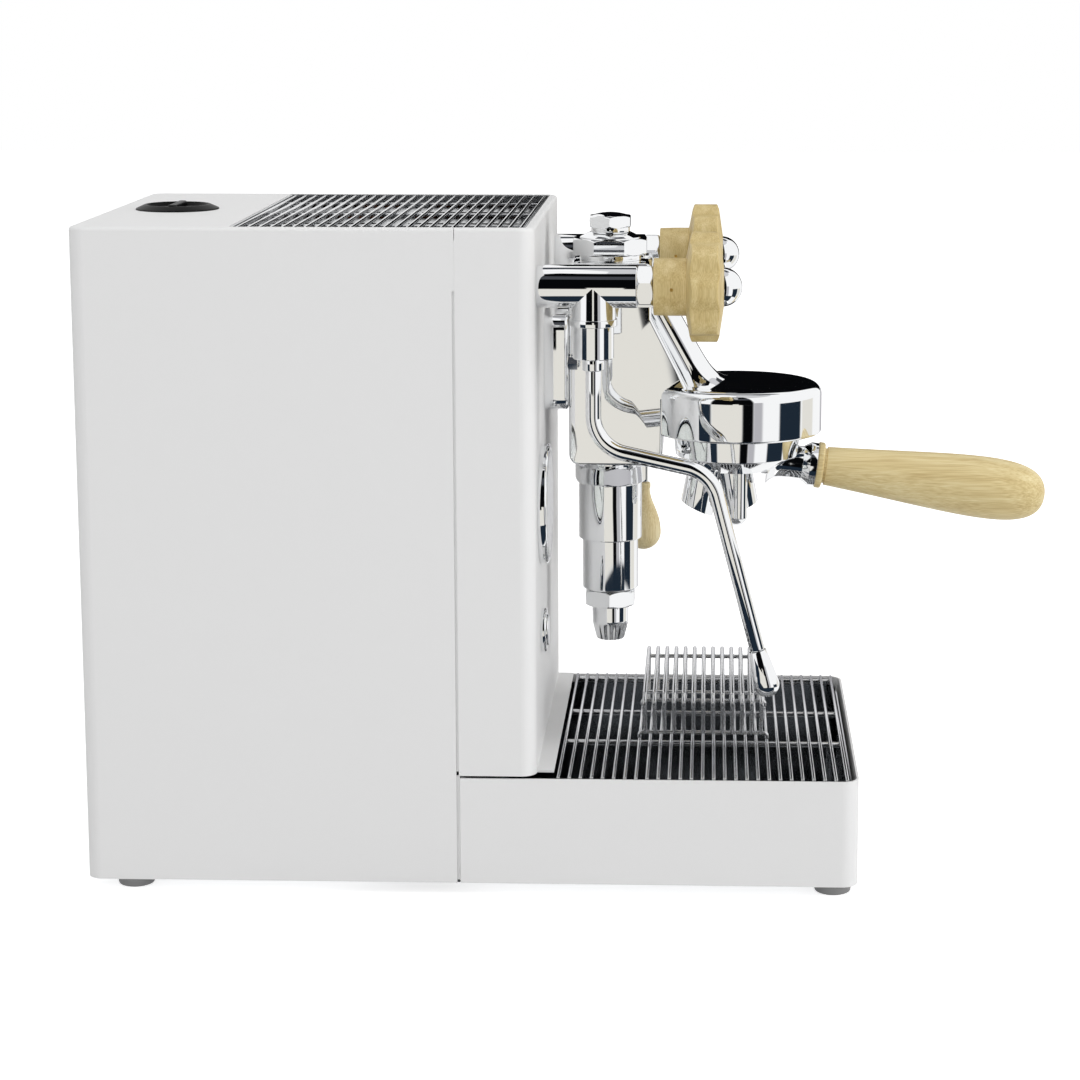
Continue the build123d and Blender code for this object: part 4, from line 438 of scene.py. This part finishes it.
def grain_of(name, along, light, mid, dark):
    """Wood: noise drawn out along one axis, 6 mm wide, sets the streaks, and a finer one, 0.55 mm, the pores."""
    mat = bpy.data.materials.new(name)
    mat.use_nodes = True
    tree = mat.node_tree
    shader = tree.nodes["Principled BSDF"]
    shader.inputs["Coat Weight"].default_value = 0.08
    shader.inputs["Coat Roughness"].default_value = 0.3
    place = add(tree, "ShaderNodeTexCoord").outputs["Object"]
    wide = [1000 / (110.0 if i == along else 6.0) for i in range(3)]
    fine = [1000 / (30.0 if i == along else 0.55) for i in range(3)]
    drawn = add(tree, "ShaderNodeMapping", Vector=place, Scale=wide).outputs["Vector"]
    streaks = add(tree, "ShaderNodeTexNoise", Vector=drawn, Scale=1.0, Detail=3.0, Distortion=0.4)
    drawn = add(tree, "ShaderNodeMapping", Vector=place, Scale=fine).outputs["Vector"]
    pores = add(tree, "ShaderNodeTexNoise", Vector=drawn, Scale=1.0, Detail=2.0)
    both = add(tree, "ShaderNodeMath", i0=streaks.outputs["Fac"], i1=pores.outputs["Fac"])
    half = add(tree, "ShaderNodeMath", i0=both.outputs["Value"], i1=0.5)
    half.operation = "MULTIPLY"
    ramp = add(tree, "ShaderNodeValToRGB", Fac=half.outputs["Value"])
    ramp.color_ramp.elements[0].position = 0.32
    ramp.color_ramp.elements[0].color = linear(dark)
    ramp.color_ramp.elements[1].position = 0.68
    ramp.color_ramp.elements[1].color = linear(light)
    middle = ramp.color_ramp.elements.new(0.5)
    middle.color = linear(mid)
    tree.links.new(ramp.outputs["Color"], shader.inputs["Base Color"])
    rough = add(tree, "ShaderNodeMapRange", Value=pores.outputs["Fac"], To_Min=0.42, To_Max=0.6)
    tree.links.new(rough.outputs["Result"], shader.inputs["Roughness"])
    raised = add(tree, "ShaderNodeBump", Height=pores.outputs["Fac"], Strength=1.0, Distance=25e-6)
    tree.links.new(raised.outputs["Normal"], shader.inputs["Normal"])
    return mat


# Oiled hardwood: pale straw with upright streaks a shade darker, and a low sheen.
upright_wood = grain_of("pale hardwood, grain upright", 2, "#DECB97", "#CBB57A", "#B3985B")
hub = rounded([(0, HUB_BACK), (15.0, HUB_BACK), (HUB_RADIUS, HUB_BACK + 9), (HUB_RADIUS, HUB_BACK + HUB_LENGTH),
               (0, HUB_BACK + HUB_LENGTH)], (0.6, 3, 0))
t = np.linspace(0, 1.5, 24)
dome = np.stack([DOME_RADIUS * np.sin(t), DOME_CENTRE + DOME_RADIUS * np.cos(t)], 1)
dome = np.concatenate([dome, [(10.3, DOME_FOOT), (0, DOME_FOOT)]])
for side, kind in ((-1, "steam"), (1, "water")):
    foot = (side * VALVE_X, PANEL_Y, VALVE_Z)
    piece(f"{kind}_knob_wood", [turned(hub, foot, FORWARD), lobed_disc(foot)],
          upright_wood, f"{kind}_knob", "pale_wood", f"{kind}_knob", sharp=24)
    piece(f"{kind}_knob_dome", [turned(dome, foot, FORWARD, 64)],
          chrome, f"{kind}_knob", "chrome", f"{kind}_knob_cap")
show(brass, "steam_knob_screw", "water_knob_screw")

# Wands: chromed pipes, bent twice on a former, that swivel in the valves' branches.
# A collar stops each under its branch, and a turned tip is screwed on its lower end.
PIPE_RADIUS, BEND_RADIUS = 4.15, 21.0
SHOULDER, SHOULDER_Z, KNEE_Z = 62.5, 226.3, 240.2
STOP_RADIUS, STOP_LOW, STOP_HIGH = 5.9, 281.0, 287.1
TIP_RADIUS, TIP_LENGTH = 7.0, 19.0
stop_collar = rounded([(0, STOP_LOW), (STOP_RADIUS, STOP_LOW), (STOP_RADIUS, STOP_HIGH), (0, STOP_HIGH)], (0.6, 0.2))
t = np.linspace(0.1, pi / 2, 12)
tip = np.concatenate([[(0, 0), (4.6, 0), (4.8, 0.3), (TIP_RADIUS, TIP_LENGTH)],
                      np.stack([TIP_RADIUS * np.cos(t), TIP_LENGTH + TIP_RADIUS * np.sin(t)], 1)])
for side, kind, reach, fall in ((-1, "steam", 25.5, 96.6), (1, "water", 10.0, 38.0)):
    x = side * VALVE_X
    end = (x, ahead(BRANCH + SHOULDER + reach), SHOULDER_Z - fall)
    bends = [(x, ahead(BRANCH), 300), (x, ahead(BRANCH), KNEE_Z), (x, ahead(BRANCH + SHOULDER), SHOULDER_Z), end]
    pipe = tube(rounded(bends, BEND_RADIUS, 20), PIPE_RADIUS, 40)
    piece(f"{kind}_wand_bent_pipe", [pipe, turned(stop_collar, (x, ahead(BRANCH), 0), UP, 48)],
          chrome, f"{kind}_wand", "chrome", f"{kind}_wand_pipe")
    piece(f"{kind}_wand_nozzle", [turned(tip, end, (0, -reach, -fall), 64)],
          chrome, f"{kind}_wand", "chrome", f"{kind}_wand_tip")

# Group: one brass casting, polished and chromed. Its flange is bolted to the panel and carries a flat-sided
# chest, from which a slanted neck runs down to the dished bell. An octagonal nut and a cap nut close the top.
GROUP, BELL = 35.4, 106.3  # axes of the chest's bore and of the bell, ahead of the panel
CHEST_HALF, CHEST_FOOT, CHEST_TOP = 22.0, 218.3, 331.0
FLANGE_DEPTH, FLANGE_Z = 13.3, 276.5
BELL_RADIUS, BELL_FOOT, BELL_TOP = 47.3, 235.0, 262.7
DISH_RADIUS, DISH_DEPTH = 41.3, 3.0
NECK_RADIUS = 9.0
OCTAGON_LOW, OCTAGON_HIGH, OCTAGON_FLATS = 334.3, 343.4, 40.5
CAP_NUT_LOW, CAP_NUT_HIGH, CAP_NUT_FLATS = 349.2, 355.7, 22.4
SIDE = (1, 0, 0)


def ring_of(points, radii, steps=6):
    """Closed outline whose corners are arcs, one radius for each corner."""
    p = [np.asarray(q, float) for q in points]
    out = []
    for i, r in enumerate(radii):
        a, b, c = p[i - 1], p[i], p[(i + 1) % len(p)]
        out.append(rounded([(a + b) / 2, b, (b + c) / 2], r, steps)[1:-1])
    return np.concatenate(out)


chest = ring_of([(ahead(FLANGE_DEPTH), CHEST_FOOT), (ahead(FLANGE_DEPTH), CHEST_TOP), (ahead(58.6), CHEST_TOP),
                 (ahead(58.6), 300.5), (ahead(79.4), 259.7), (ahead(65.0), 255.2), (ahead(65.0), CHEST_FOOT)],
                (6.0, 3.0, 3.0, 0, 0, 0, 6.0))
flange = rounded_box(31.0, 26.5, 8.0)
r = np.linspace(41.2, 0, 24)
dish = np.stack([r, BELL_TOP - DISH_DEPTH + DISH_DEPTH * (r / DISH_RADIUS) ** 2], 1)
bell = rounded([(0, 253.7), (39.5, 253.7), (39.5, BELL_FOOT), (BELL_RADIUS, BELL_FOOT), (BELL_RADIUS, BELL_TOP),
                (34, BELL_TOP)], (0.5, 0.8, 1.5, 6.0), 12)
bell = np.concatenate([bell[:-1], dish])
neck_foot = np.array([0, ahead(87.8), 258.6])
neck_axis = np.array([0, ahead(52.7), 322.0]) - neck_foot
neck_length = np.linalg.norm(neck_axis)
s = np.linspace(0, neck_length, 40)
neck = np.stack([NECK_RADIUS + 6.0 * np.exp(-s / 5.0), s], 1)
neck = np.concatenate([[(0, 0)], neck, [(0, neck_length)]])
piece("group_casting", [block(chest, -CHEST_HALF, CHEST_HALF, (0, 0, 0), SIDE, 1.5, 1.5),
                        block(flange, 0, FLANGE_DEPTH, (0, PANEL_Y, FLANGE_Z), FORWARD, 0.3, 2.0),
                        turned(neck, neck_foot, neck_axis), turned(bell, (0, ahead(BELL), 0), UP, 160)],
      chrome, "machine", "chrome", "group_body")

bore = (0, ahead(GROUP), 0)
washer = rounded([(0, CHEST_TOP), (17, CHEST_TOP), (17, 334.6), (0, 334.6)], 0.3)
crown = rounded([(0, 343.2), (18.2, 343.2), (11.2, 346.6), (0, 346.6)], (0.4, 0.4))
octagon = nut(8, OCTAGON_FLATS, OCTAGON_LOW, OCTAGON_HIGH, bore, UP, 0, 1.2)
piece("top_nut_octagon", [turned(washer, bore, UP), octagon, turned(crown, bore, UP)],
      chrome, "machine", "chrome", "top_nut")
cap_washer = rounded([(0, 346.6), (10.75, 346.6), (10.75, 349.4), (0, 349.4)], 0.3)
cap_hexagon = nut(6, CAP_NUT_FLATS, CAP_NUT_LOW, CAP_NUT_HIGH, bore, UP, pi / 6)
arc = 0.35  # half angle of the domed top
t = np.linspace(0.33, 0, 10)
cap_dome = np.stack([11.0 * np.sin(t) / sin(arc), 355.4 + 2.0 * (np.cos(t) - cos(arc)) / (1 - cos(arc))], 1)
cap_dome = np.concatenate([[(0, CAP_NUT_LOW), (11.0, CAP_NUT_LOW), (11.0, 355.4)], cap_dome])
piece("top_cap_hex", [turned(cap_washer, bore, UP), cap_hexagon, turned(cap_dome, bore, UP)],
      chrome, "machine", "chrome", "top_cap")
show(chrome, "group_bolts")
show(sheet_steel, "shower_screen")
show(grey_rubber, "group_gasket")

# Lower chamber: a turned and chromed brass body, held to the chest's underside by its own octagonal nut.
# A hexagon nut under it holds the drain nozzle, whose tapered end is fluted on a milling machine.
CHAMBER_HIGH, CHAMBER_STEP, CHAMBER_LOW = 205.8, 173.7, 144.5
WIDE_RADIUS, NARROW_RADIUS = 17.75, 15.65
NOZZLE_TOP, NOZZLE_TAPER, NOZZLE_END = 134.9, 124.7, 115.0
FLUTES, FLUTE_DEPTH = 16, 0.9


def fluted_nozzle(foot):
    """Nozzle: r = 10.3 down to z = 124.7, then tapers to 7.7 with flutes cut in by 0.9 (1 - cos 16a) / 2."""
    count = 160
    a = np.arange(count) * 2 * pi / count
    h = np.array([NOZZLE_TOP, 126, 124.8, 124.2, 123, 121, 118, 115.7, 115.2, NOZZLE_END])
    r = np.interp(h, [NOZZLE_END, NOZZLE_TAPER, NOZZLE_TOP], [7.8, 10.2, 10.3])
    r[-2:] -= [0.2, 0.6]
    cut = np.interp(h, [123.0, NOZZLE_TAPER], [FLUTE_DEPTH, 0.0])
    grid = r[:, None] - cut[:, None] * ((1 - np.cos(FLUTES * a)) / 2)[None]
    bore_rows = np.full((2, count), 3.0)
    pole = np.full((1, count), 1e-3)
    grid = np.concatenate([pole, grid, bore_rows, pole])
    h = np.concatenate([[NOZZLE_TOP], h, [NOZZLE_END, 122, 122]])
    radial = np.stack([np.cos(a), np.sin(a), a * 0], 1)
    return rings(np.asarray(foot, float) + h[:, None, None] * np.array(UP) + grid[:, :, None] * radial[None], True)


throat = rounded([(0, 215.5), (15, 215.5), (15, 218.6), (0, 218.6)], 0.2)
barrels = rounded([(0, CHAMBER_HIGH), (WIDE_RADIUS, CHAMBER_HIGH), (WIDE_RADIUS, CHAMBER_STEP),
                   (NARROW_RADIUS, CHAMBER_STEP), (NARROW_RADIUS, CHAMBER_LOW), (0, CHAMBER_LOW)],
                  (0.4, 0.6, 0.3, 1.2))
chamber_nut = nut(8, 37.2, CHAMBER_HIGH, 215.7, bore, UP, 0.245, 1.2)
piece("lower_chamber_body", [turned(throat, bore, UP), chamber_nut, turned(barrels, bore, UP, 128)],
      chrome, "machine", "chrome", "lower_chamber")
piece("drain_nozzle_fluted", [nut(6, 27.2, NOZZLE_TOP, 144.0, bore, UP, pi / 6, 1.2), fluted_nozzle(bore)],
      chrome, "machine", "chrome", "drain_nozzle")

# Lever: a chromed steel shaft that turns in a hexagon boss on the chest's far side, with a hanging rod.
# A teardrop knob, turned from hardwood, is screwed on the rod's end; its wood is painted lighter than the knobs' to
# make up for the shade it hangs in.
LEVER, LEVER_X, LEVER_Z = 52.4, 62.0, 245.0
ROD_RADIUS, ROD_END = 3.0, 51.7
KNOB_RADIUS, KNOB_MIDDLE = 10.3, 29.7
shaft_axis = (0, ahead(LEVER), LEVER_Z)
pivot = np.array([LEVER_X, ahead(LEVER), LEVER_Z])
hang = np.array([0, 0, -1.0])
# Pale hardwood like the knobs', painted lighter to make up for the shade it stands in behind the chest: the palest of
# the three woods, creamy with faint streaks.
lever_wood_painted_light = grain_of("pale hardwood, lightened as painted light", 2, "#F3E7C3", "#E6D5A6", "#D0B985")
piece("lever_boss_hex", [nut(6, 19.9, CHEST_HALF, 31.0, shaft_axis, SIDE, pi / 6)],
      chrome, "machine", "chrome", "lever_boss")
shaft = rounded([(0, 6.3), (5, 6.3), (5, 55.0), (7, 55.0), (7, 69.0), (0, 69.0)], (0.3, 0.5, 0.8, 0.8))
piece("lever_cross_shaft", [turned(shaft, shaft_axis, SIDE, 64)], chrome, "lever", "chrome", "lever_shaft")
piece("lever_bar", [tube([pivot + hang * 4, pivot + hang * 28, pivot + hang * ROD_END], ROD_RADIUS, 32)],
      chrome, "lever", "chrome", "lever_rod")


def curve(start, lead, trail, end, count):
    """Side of a turned handle, a cubic: (1-t)^3 start + 3 t (1-t)^2 lead + 3 t^2 (1-t) trail + t^3 end."""
    t = np.linspace(0, 1, count)[:, None]
    start, lead, trail, end = np.array([start, lead, trail, end], float)
    return (1 - t) ** 3 * start + 3 * t * (1 - t) ** 2 * lead + 3 * t**2 * (1 - t) * trail + t**3 * end


bead = rounded([(0, 0), (4.2, 0), (4.2, 3.2), (3.7, 3.9)], (0.9, 0.9))
belly = curve((3.9, 4.4), (4.1, 12.0), (KNOB_RADIUS, 18.0), (KNOB_RADIUS, KNOB_MIDDLE), 28)
t = np.linspace(0.06, pi / 2, 16)
teardrop_end = np.stack([KNOB_RADIUS * np.cos(t), KNOB_MIDDLE + KNOB_RADIUS * np.sin(t)], 1)
teardrop = np.concatenate([bead, belly, teardrop_end])
piece("lever_teardrop", [turned(teardrop, pivot + hang * ROD_END, hang, 72)],
      lever_wood_painted_light, "lever", "pale_wood", "lever_knob")

# Portafilter: a cast and chromed brass bowl with its arm, hung in the bell by its ears, with a pressed basket.
# A double spout with slanted mouths is screwed under it. A chromed ferrule joins the arm to the turned
# hardwood handle, which droops a little.
HANDLE_LENGTH, HANDLE_END, HANDLE_END_Z = 128.9, 278.9, 198.9
ARM_RADIUS = 9.3
SPOUT_TOP, SPOUT_RADIUS, SPOUT_BORE = 213.5, 9.5, 6.5
SPOUT_SET_BACK, SPOUT_SPREAD, SPOUT_DROP = 9.4, 8.4, 25.0
lean, cut_lean, droop = radians(11), radians(26), radians(7.5)
grip_axis = np.array([0, -cos(droop), -sin(droop)])
handle_foot = np.array([0, ahead(HANDLE_END), HANDLE_END_Z]) - grip_axis * HANDLE_LENGTH
bowl = rounded([(0, 249.0), (30.8, 249.0), (35.5, 249.0), (35.5, 235.0), (34.2, 221.8), (20, SPOUT_TOP),
                (0, SPOUT_TOP)], (0, 0.5, 2.0, 1.2, 4.0), 6)
arm = rounded([(0, -5), (ARM_RADIUS, -5), (ARM_RADIUS, 17.2), (0, 17.2)], 0.2)
s = np.linspace(0, 12, 12)
flare = np.stack([ARM_RADIUS + 5.0 * np.exp(-s / 3.0), s], 1)
flare = np.concatenate([[(0, 0)], flare, [(0, 12)]])
piece("portafilter_cup", [turned(bowl, (0, ahead(BELL), 0), UP, 144),
                          turned(arm, handle_foot - grip_axis * 25.0, grip_axis),
                          turned(flare, handle_foot - grip_axis * 27, grip_axis)],
      chrome, "portafilter", "chrome", "portafilter_bowl")
ferrule = rounded([(0, -8), (9.6, -8), (12.15, -4), (12.15, 0), (0, 0)], (0.4, 0.6, 0.2))
piece("handle_ferrule", [turned(ferrule, handle_foot, grip_axis)],
      chrome, "portafilter", "chrome", "portafilter_ferrule")
# Oiled hardwood cut lengthwise: pale straw with streaks that run along the grip.
lying_wood = grain_of("pale hardwood, grain lengthwise", 1, "#E6D7A8", "#D5C18B", "#BAA068")
handle_bead = rounded([(0, 0), (12.85, 0), (12.85, 3.7), (9.8, 3.7), (9.8, 5.3), (10.8, 5.3)], (0.8, 1.2, 0.3, 0.3))
grip_side = curve((10.8, 5.3), (16.0, 80.56), (26.5, HANDLE_LENGTH), (0, HANDLE_LENGTH), 60)
piece("handle_wood", [turned(np.concatenate([handle_bead, grip_side]), handle_foot, grip_axis, 96)],
      lying_wood, "portafilter", "pale_wood", "portafilter_handle", sharp=40)


def mouth(side):
    """Spout cut aslant: h = n . (q - foot - r u) / n . d puts each ring of radius r on the cut plane (q, n)."""
    foot = np.array([0, ahead(BELL) + SPOUT_SET_BACK + side * SPOUT_SPREAD, SPOUT_TOP])
    cut, normal = foot - [0, 0, SPOUT_DROP], np.array([0, -side * sin(cut_lean), cos(cut_lean)])
    x, y, d = basis((0, side * sin(lean), -cos(lean)))
    angle = np.arange(96) * 2 * pi / 96
    u = np.cos(angle)[:, None] * x + np.sin(angle)[:, None] * y
    rows = [foot + u * 1e-3, foot + u * SPOUT_RADIUS]
    for r, back in ((SPOUT_RADIUS, 0.6), (9.35, 0.2), (9.0, 0), (6.9, 0), (6.6, 0.15), (SPOUT_BORE, 0.5)):
        h = ((cut - foot - u * r) @ normal) / d.dot(normal) - back
        rows.append(foot + u * r + d * h[:, None])
    rows += [foot + u * SPOUT_BORE + d * 15.0, foot + u * 1e-3 + d * 15.0]
    return rings(np.array(rows), True)


vent = rounded([(0, 214.0), (4.0, 214.0), (4.0, 186.5), (2.8, 186.5), (2.8, 195.0), (0, 195.0)], (0.1, 0.4, 0.3, 0.1))
piece("double_spout", [mouth(-1), mouth(1), turned(vent, (-9.0, ahead(108.4), 0), UP, 40)],
      chrome, "portafilter", "chrome", "portafilter_spout")
show(sheet_steel, "filter_basket")

# Pressure gauge: a spun and chromed case let into the panel, with a white dial, a black needle and a flat glass.
# The dial's marks are printed bars, a long one at every fifth.
GAUGE = (-58.0, PANEL_Y, 204.0)
CASE_RADIUS, RIM_OUTER, GLASS_SEAT = 29.0, 32.5, 27.3
MARK_OUTER, MARK_COUNT, MARK_STEP, MARK_START = 25.0, 31, 9, 225
INK = 0.08  # raised so that it shows clear of the dial
case = rounded([(0, -22), (CASE_RADIUS, -22), (CASE_RADIUS, 0), (RIM_OUTER, 0), (RIM_OUTER, 5.0), (29.1, 5.0),
                (29.1, 3.4), (GLASS_SEAT, 3.4), (GLASS_SEAT, -2.0), (0, -2.0)], (0.5, 0, 0.3, 1.8, 0.8, 0, 0, 0.2))
piece("gauge_rim", [turned(case, GAUGE, FORWARD, 128)], chrome, "machine", "chrome", "gauge_case")
# Stove enamel: a clean, slightly warm white with a soft gloss.
dial_white = finish_of("white dial enamel", "#F1F1EC", 0.3, 0.0, 0.04, (1, 1, 1))
# Printing ink: a soft black without shine, so the marks read from any side.
dial_black = finish_of("black dial ink", "#161616", 0.45, 0.0, 0.05, (0.5, 0.5, 0.5))
# Float glass: clear, seen by its reflections alone.
clear_glass = finish_of("clear gauge glass", "#F6F8F8", 0.03, 0.0, 0.01, (5, 5, 5),
                        Transmission_Weight=1.0, IOR=1.45)
dial_face = np.array(GAUGE) + np.array([0, 0.95, 0])
marks = []
for k in range(MARK_COUNT):
    a = radians(MARK_START - k * MARK_STEP)
    length, half_width = (4.0, 0.45) if k % 5 == 0 else (2.2, 0.22)
    out, across = np.array([cos(a), 0, sin(a)]), np.array([-sin(a), 0, cos(a)]) * half_width
    outer, inner = dial_face + out * MARK_OUTER, dial_face + out * (MARK_OUTER - length)
    corners = np.array([outer + across, outer - across, inner - across, inner + across])
    marks.append(rings(np.array([corners, corners + np.array([0, -INK, 0])]), True))
piece("gauge_marks", marks, dial_black, "machine", "needle_paint")
show(dial_white, "gauge_dial")
show(dial_black, "gauge_needle")
show(clear_glass, "gauge_lens")

# Power switch: a turned and chromed bezel, fixed through the panel by a nut behind it.
# A bright push button runs in it on a spring.
SWITCH = (-58.0, PANEL_Y, 133.5)
BEZEL_RADIUS, BUTTON_RADIUS = 12.0, 8.5
bezel = rounded([(0, -13), (9.3, -13), (9.3, 0), (BEZEL_RADIUS, 0), (BEZEL_RADIUS, 3.0), (8.6, 3.0),
                 (8.6, -12), (0, -12)], (0.3, 0, 0.3, 1.2, 0.4, 0.2))
piece("switch_bezel", [turned(bezel, SWITCH, FORWARD, 72)], chrome, "machine", "chrome", "button_bezel")
button = rounded([(0, -9), (BUTTON_RADIUS, -9), (BUTTON_RADIUS, 4.0), (0, 4.2)], (0.3, 0.9))
piece("switch_button", [turned(button, SWITCH, FORWARD, 64)], chrome, "power_button", "chrome", "power_button")

# Curtain: a round studio wall with cards hung on it, which only polished metal sees. It stands 1270 mm off.
# Each card is given by bearings, heights, the softness of its edges in degrees, and its tone. Bearing 0 looks
# back at the camera and 90 to the machine's front; heights below 0 run in over the floor, above 3000 the ceiling.
CURTAIN_RADIUS, CURTAIN_Y, CEILING = 1270, -60, 3000
NAVY, WARM, COAL = linear("#1F2A36"), linear("#E9E6DE"), linear("#07080A")
ASH, PALE, DUSK = linear("#B9B8BC"), linear("#D2D2D4"), linear("#47494E")
cards = (
    (-200, 200, 3000, 4400, 3, PALE),  # ceiling
    (-66, -34, -900, 160, 4, NAVY),
    (-33, 8, -860, 165, 3, WARM),  # behind the camera, as the flat chest shows it
    (-34, 23, 165, 3550, 3, COAL),
    (-34, 23, 1400, 2300, 3, DUSK),
    (-4.7, 3.2, 150, 290, 0.4, WARM),
    (8, 23, -900, 165, 3, COAL),
    (23, 35, -900, 500, 4, ASH),
    (59, 94, -900, 160, 3, NAVY),  # the machine's front
    (97, 122, -900, 160, 4, WARM),
    (152, 206, 0, 230, 8, ASH),  # the far side
    (152, 206, -900, 0, 8, PALE),
    (-60, 60, -1120, -862, 4, NAVY),  # on the floor by the machine
    (130, 230, 2200, 3350, 8, DUSK),
)


def screen(name, points, tones):
    """Glowing screen from a grid of points in mm and a grid of colours, seen by polished metal alone."""
    verts, quads = rings(points, False)
    mesh = bpy.data.meshes.new(name)
    mesh.from_pydata((verts * 0.001).tolist(), [], quads.tolist())
    tone = mesh.color_attributes.new("tone", "FLOAT_COLOR", "POINT")
    tone.data.foreach_set("color", np.asarray(tones, float).ravel())
    mat = bpy.data.materials.new(f"{name} glow")
    mat.use_nodes = True
    tree = mat.node_tree
    tree.nodes.clear()
    own = add(tree, "ShaderNodeAttribute")
    own.attribute_name = "tone"
    lit = add(tree, "ShaderNodeEmission", Color=own.outputs["Color"], Strength=1.0)
    tree.links.new(lit.outputs["Emission"], add(tree, "ShaderNodeOutputMaterial").inputs["Surface"])
    mesh.materials.append(mat)
    obj = bpy.data.objects.new(name, mesh)
    bpy.context.scene.collection.objects.link(obj)
    obj.visible_camera = obj.visible_diffuse = obj.visible_shadow = False
    obj.visible_transmission = obj.visible_volume_scatter = False


def within(value, low, high, soft):
    """Window 0..1 between two limits with eased edges: 3 t^2 - 2 t^3 over the soft width."""
    t = np.clip(np.minimum(value - low, high - value) / soft + 0.5, 0, 1)
    return t * t * (3 - 2 * t)


bearings = np.concatenate([np.arange(-180, -8), np.arange(-8, 8, 0.25), np.arange(8, 181)])
heights = np.concatenate([np.arange(-1130, 0, 10), np.arange(0, 480, 8), np.arange(480, 4261, 20)])
reach = CURTAIN_RADIUS + np.minimum(heights, 0) - np.maximum(heights - CEILING, 0)
points = np.stack([-np.outer(reach, np.cos(np.radians(bearings))),
                   CURTAIN_Y - np.outer(reach, np.sin(np.radians(bearings))),
                   np.outer(np.clip(heights, 1, CEILING), np.ones(len(bearings)))], 2)
tones = np.ones((*points.shape[:2], 4))
for start, stop, low, high, soft, tone in cards:
    turn = bearings % 360 if stop > 180 else bearings
    share = np.outer(within(heights, low, high, 10), within(turn, start, stop, soft))
    tones += share[..., None] * (np.array(tone) - tones)
screen("curtain", points, tones)
# Far card: a black card near the far side, which the bell's dish and the nuts' tops mirror.
far_card = np.array([[(600, -400, 262), (600, 70, 262)], [(600, -400, 900), (600, 70, 900)]], float)
screen("far_card", far_card, np.broadcast_to(COAL, (2, 2, 4)))


# Floor and air: a sheet of matt white paper that keeps a faint shadow, under an even white sky.
# Both look brighter to the eye and to polished metal than the light they shed.
def straight_rays(tree):
    """1 for a ray from the eye, or one mirrored or passed through glass, else 0."""
    rays = add(tree, "ShaderNodeLightPath").outputs
    seen = add(tree, "ShaderNodeMath", i0=rays["Is Camera Ray"], i1=rays["Is Glossy Ray"])
    return add(tree, "ShaderNodeMath", i0=seen.outputs["Value"], i1=rays["Is Transmission Ray"]).outputs["Value"]


FLOOR_HALF = 6  # metres
FLOOR_GLOW, SKY_LIGHT = 0.72, 0.55
floor_mesh = bpy.data.meshes.new("floor")
corners = [(sx * FLOOR_HALF, sy * FLOOR_HALF, 0) for sx, sy in ((-1, -1), (1, -1), (1, 1), (-1, 1))]
floor_mesh.from_pydata(corners, [], [(0, 1, 2, 3)])
floor_mat = bpy.data.materials.new("pale studio floor")
floor_mat.use_nodes = True
tree = floor_mat.node_tree
paper = tree.nodes["Principled BSDF"]
paper.inputs["Base Color"].default_value = (0.8, 0.8, 0.8, 1)
paper.inputs["Roughness"].default_value = 1.0
paper.inputs["Specular IOR Level"].default_value = 0.0
paper.inputs["Emission Color"].default_value = (1, 1, 1, 1)
lift = add(tree, "ShaderNodeMath", i0=straight_rays(tree), i1=FLOOR_GLOW)
lift.operation = "MULTIPLY"
tree.links.new(lift.outputs["Value"], paper.inputs["Emission Strength"])
floor_mesh.materials.append(floor_mat)
floor = bpy.data.objects.new("floor", floor_mesh)
bpy.context.scene.collection.objects.link(floor)

world = bpy.data.worlds.new("studio")
bpy.context.scene.world = world
world.use_nodes = True
tree = world.node_tree
level = add(tree, "ShaderNodeMapRange", Value=straight_rays(tree), To_Min=SKY_LIGHT, To_Max=1.0)
sky = tree.nodes["Background"]
sky.inputs["Color"].default_value = (1, 1, 1, 1)
tree.links.new(level.outputs["Result"], sky.inputs["Strength"])


# Lamps: three large soft boxes, in metres and watts, from the machine's front, from above and from the camera's
# side. Polished metal doesn't show them, since the curtain gives it all it mirrors.
def lamp(name, place, target, size, watts):
    """Soft square lamp aimed at a point: its own Z axis is the line from the target to the lamp."""
    data = bpy.data.lights.new(name, "AREA")
    data.energy, data.size = watts, size
    obj = bpy.data.objects.new(name, data)
    bpy.context.scene.collection.objects.link(obj)
    obj.location = place
    x, y, d = basis(np.array(place) - np.array(target))
    obj.rotation_euler = Matrix(np.stack([x, y, d], 1).tolist()).to_euler()
    obj.visible_glossy = False


lamp("front_soft", (-0.6, -3.4, 0.7), (0, 0, 0.2), 2.2, 62)
lamp("top_soft", (-0.2, 0.1, 2.2), (0, 0, 0.2), 1.8, 12.5)
lamp("side_soft", (-2.2, 0.2, 0.7), (0, 0, 0.15), 1.6, 10.5)

# Camera: the photograph's long lens from the steam side, a little above the machine.
# It is tipped down and shifted, so that upright edges stay nearly upright.
PITCH_DOWN, YAW = 9.22, 2.06  # degrees
view = bpy.data.cameras.new("photo_view")
view.lens, view.sensor_width = 89.33, 36.0
view.shift_x, view.shift_y = -0.07, -0.12
view.clip_end = 50
eye = bpy.data.objects.new("photo_view", view)
bpy.context.scene.collection.objects.link(eye)
eye.location = (-1.484, -0.0737, 0.4869)
eye.rotation_euler = (radians(90 - PITCH_DOWN), 0, radians(-90 + YAW))
bpy.context.scene.camera = eye
bpy.context.scene.view_settings.view_transform = "Standard"
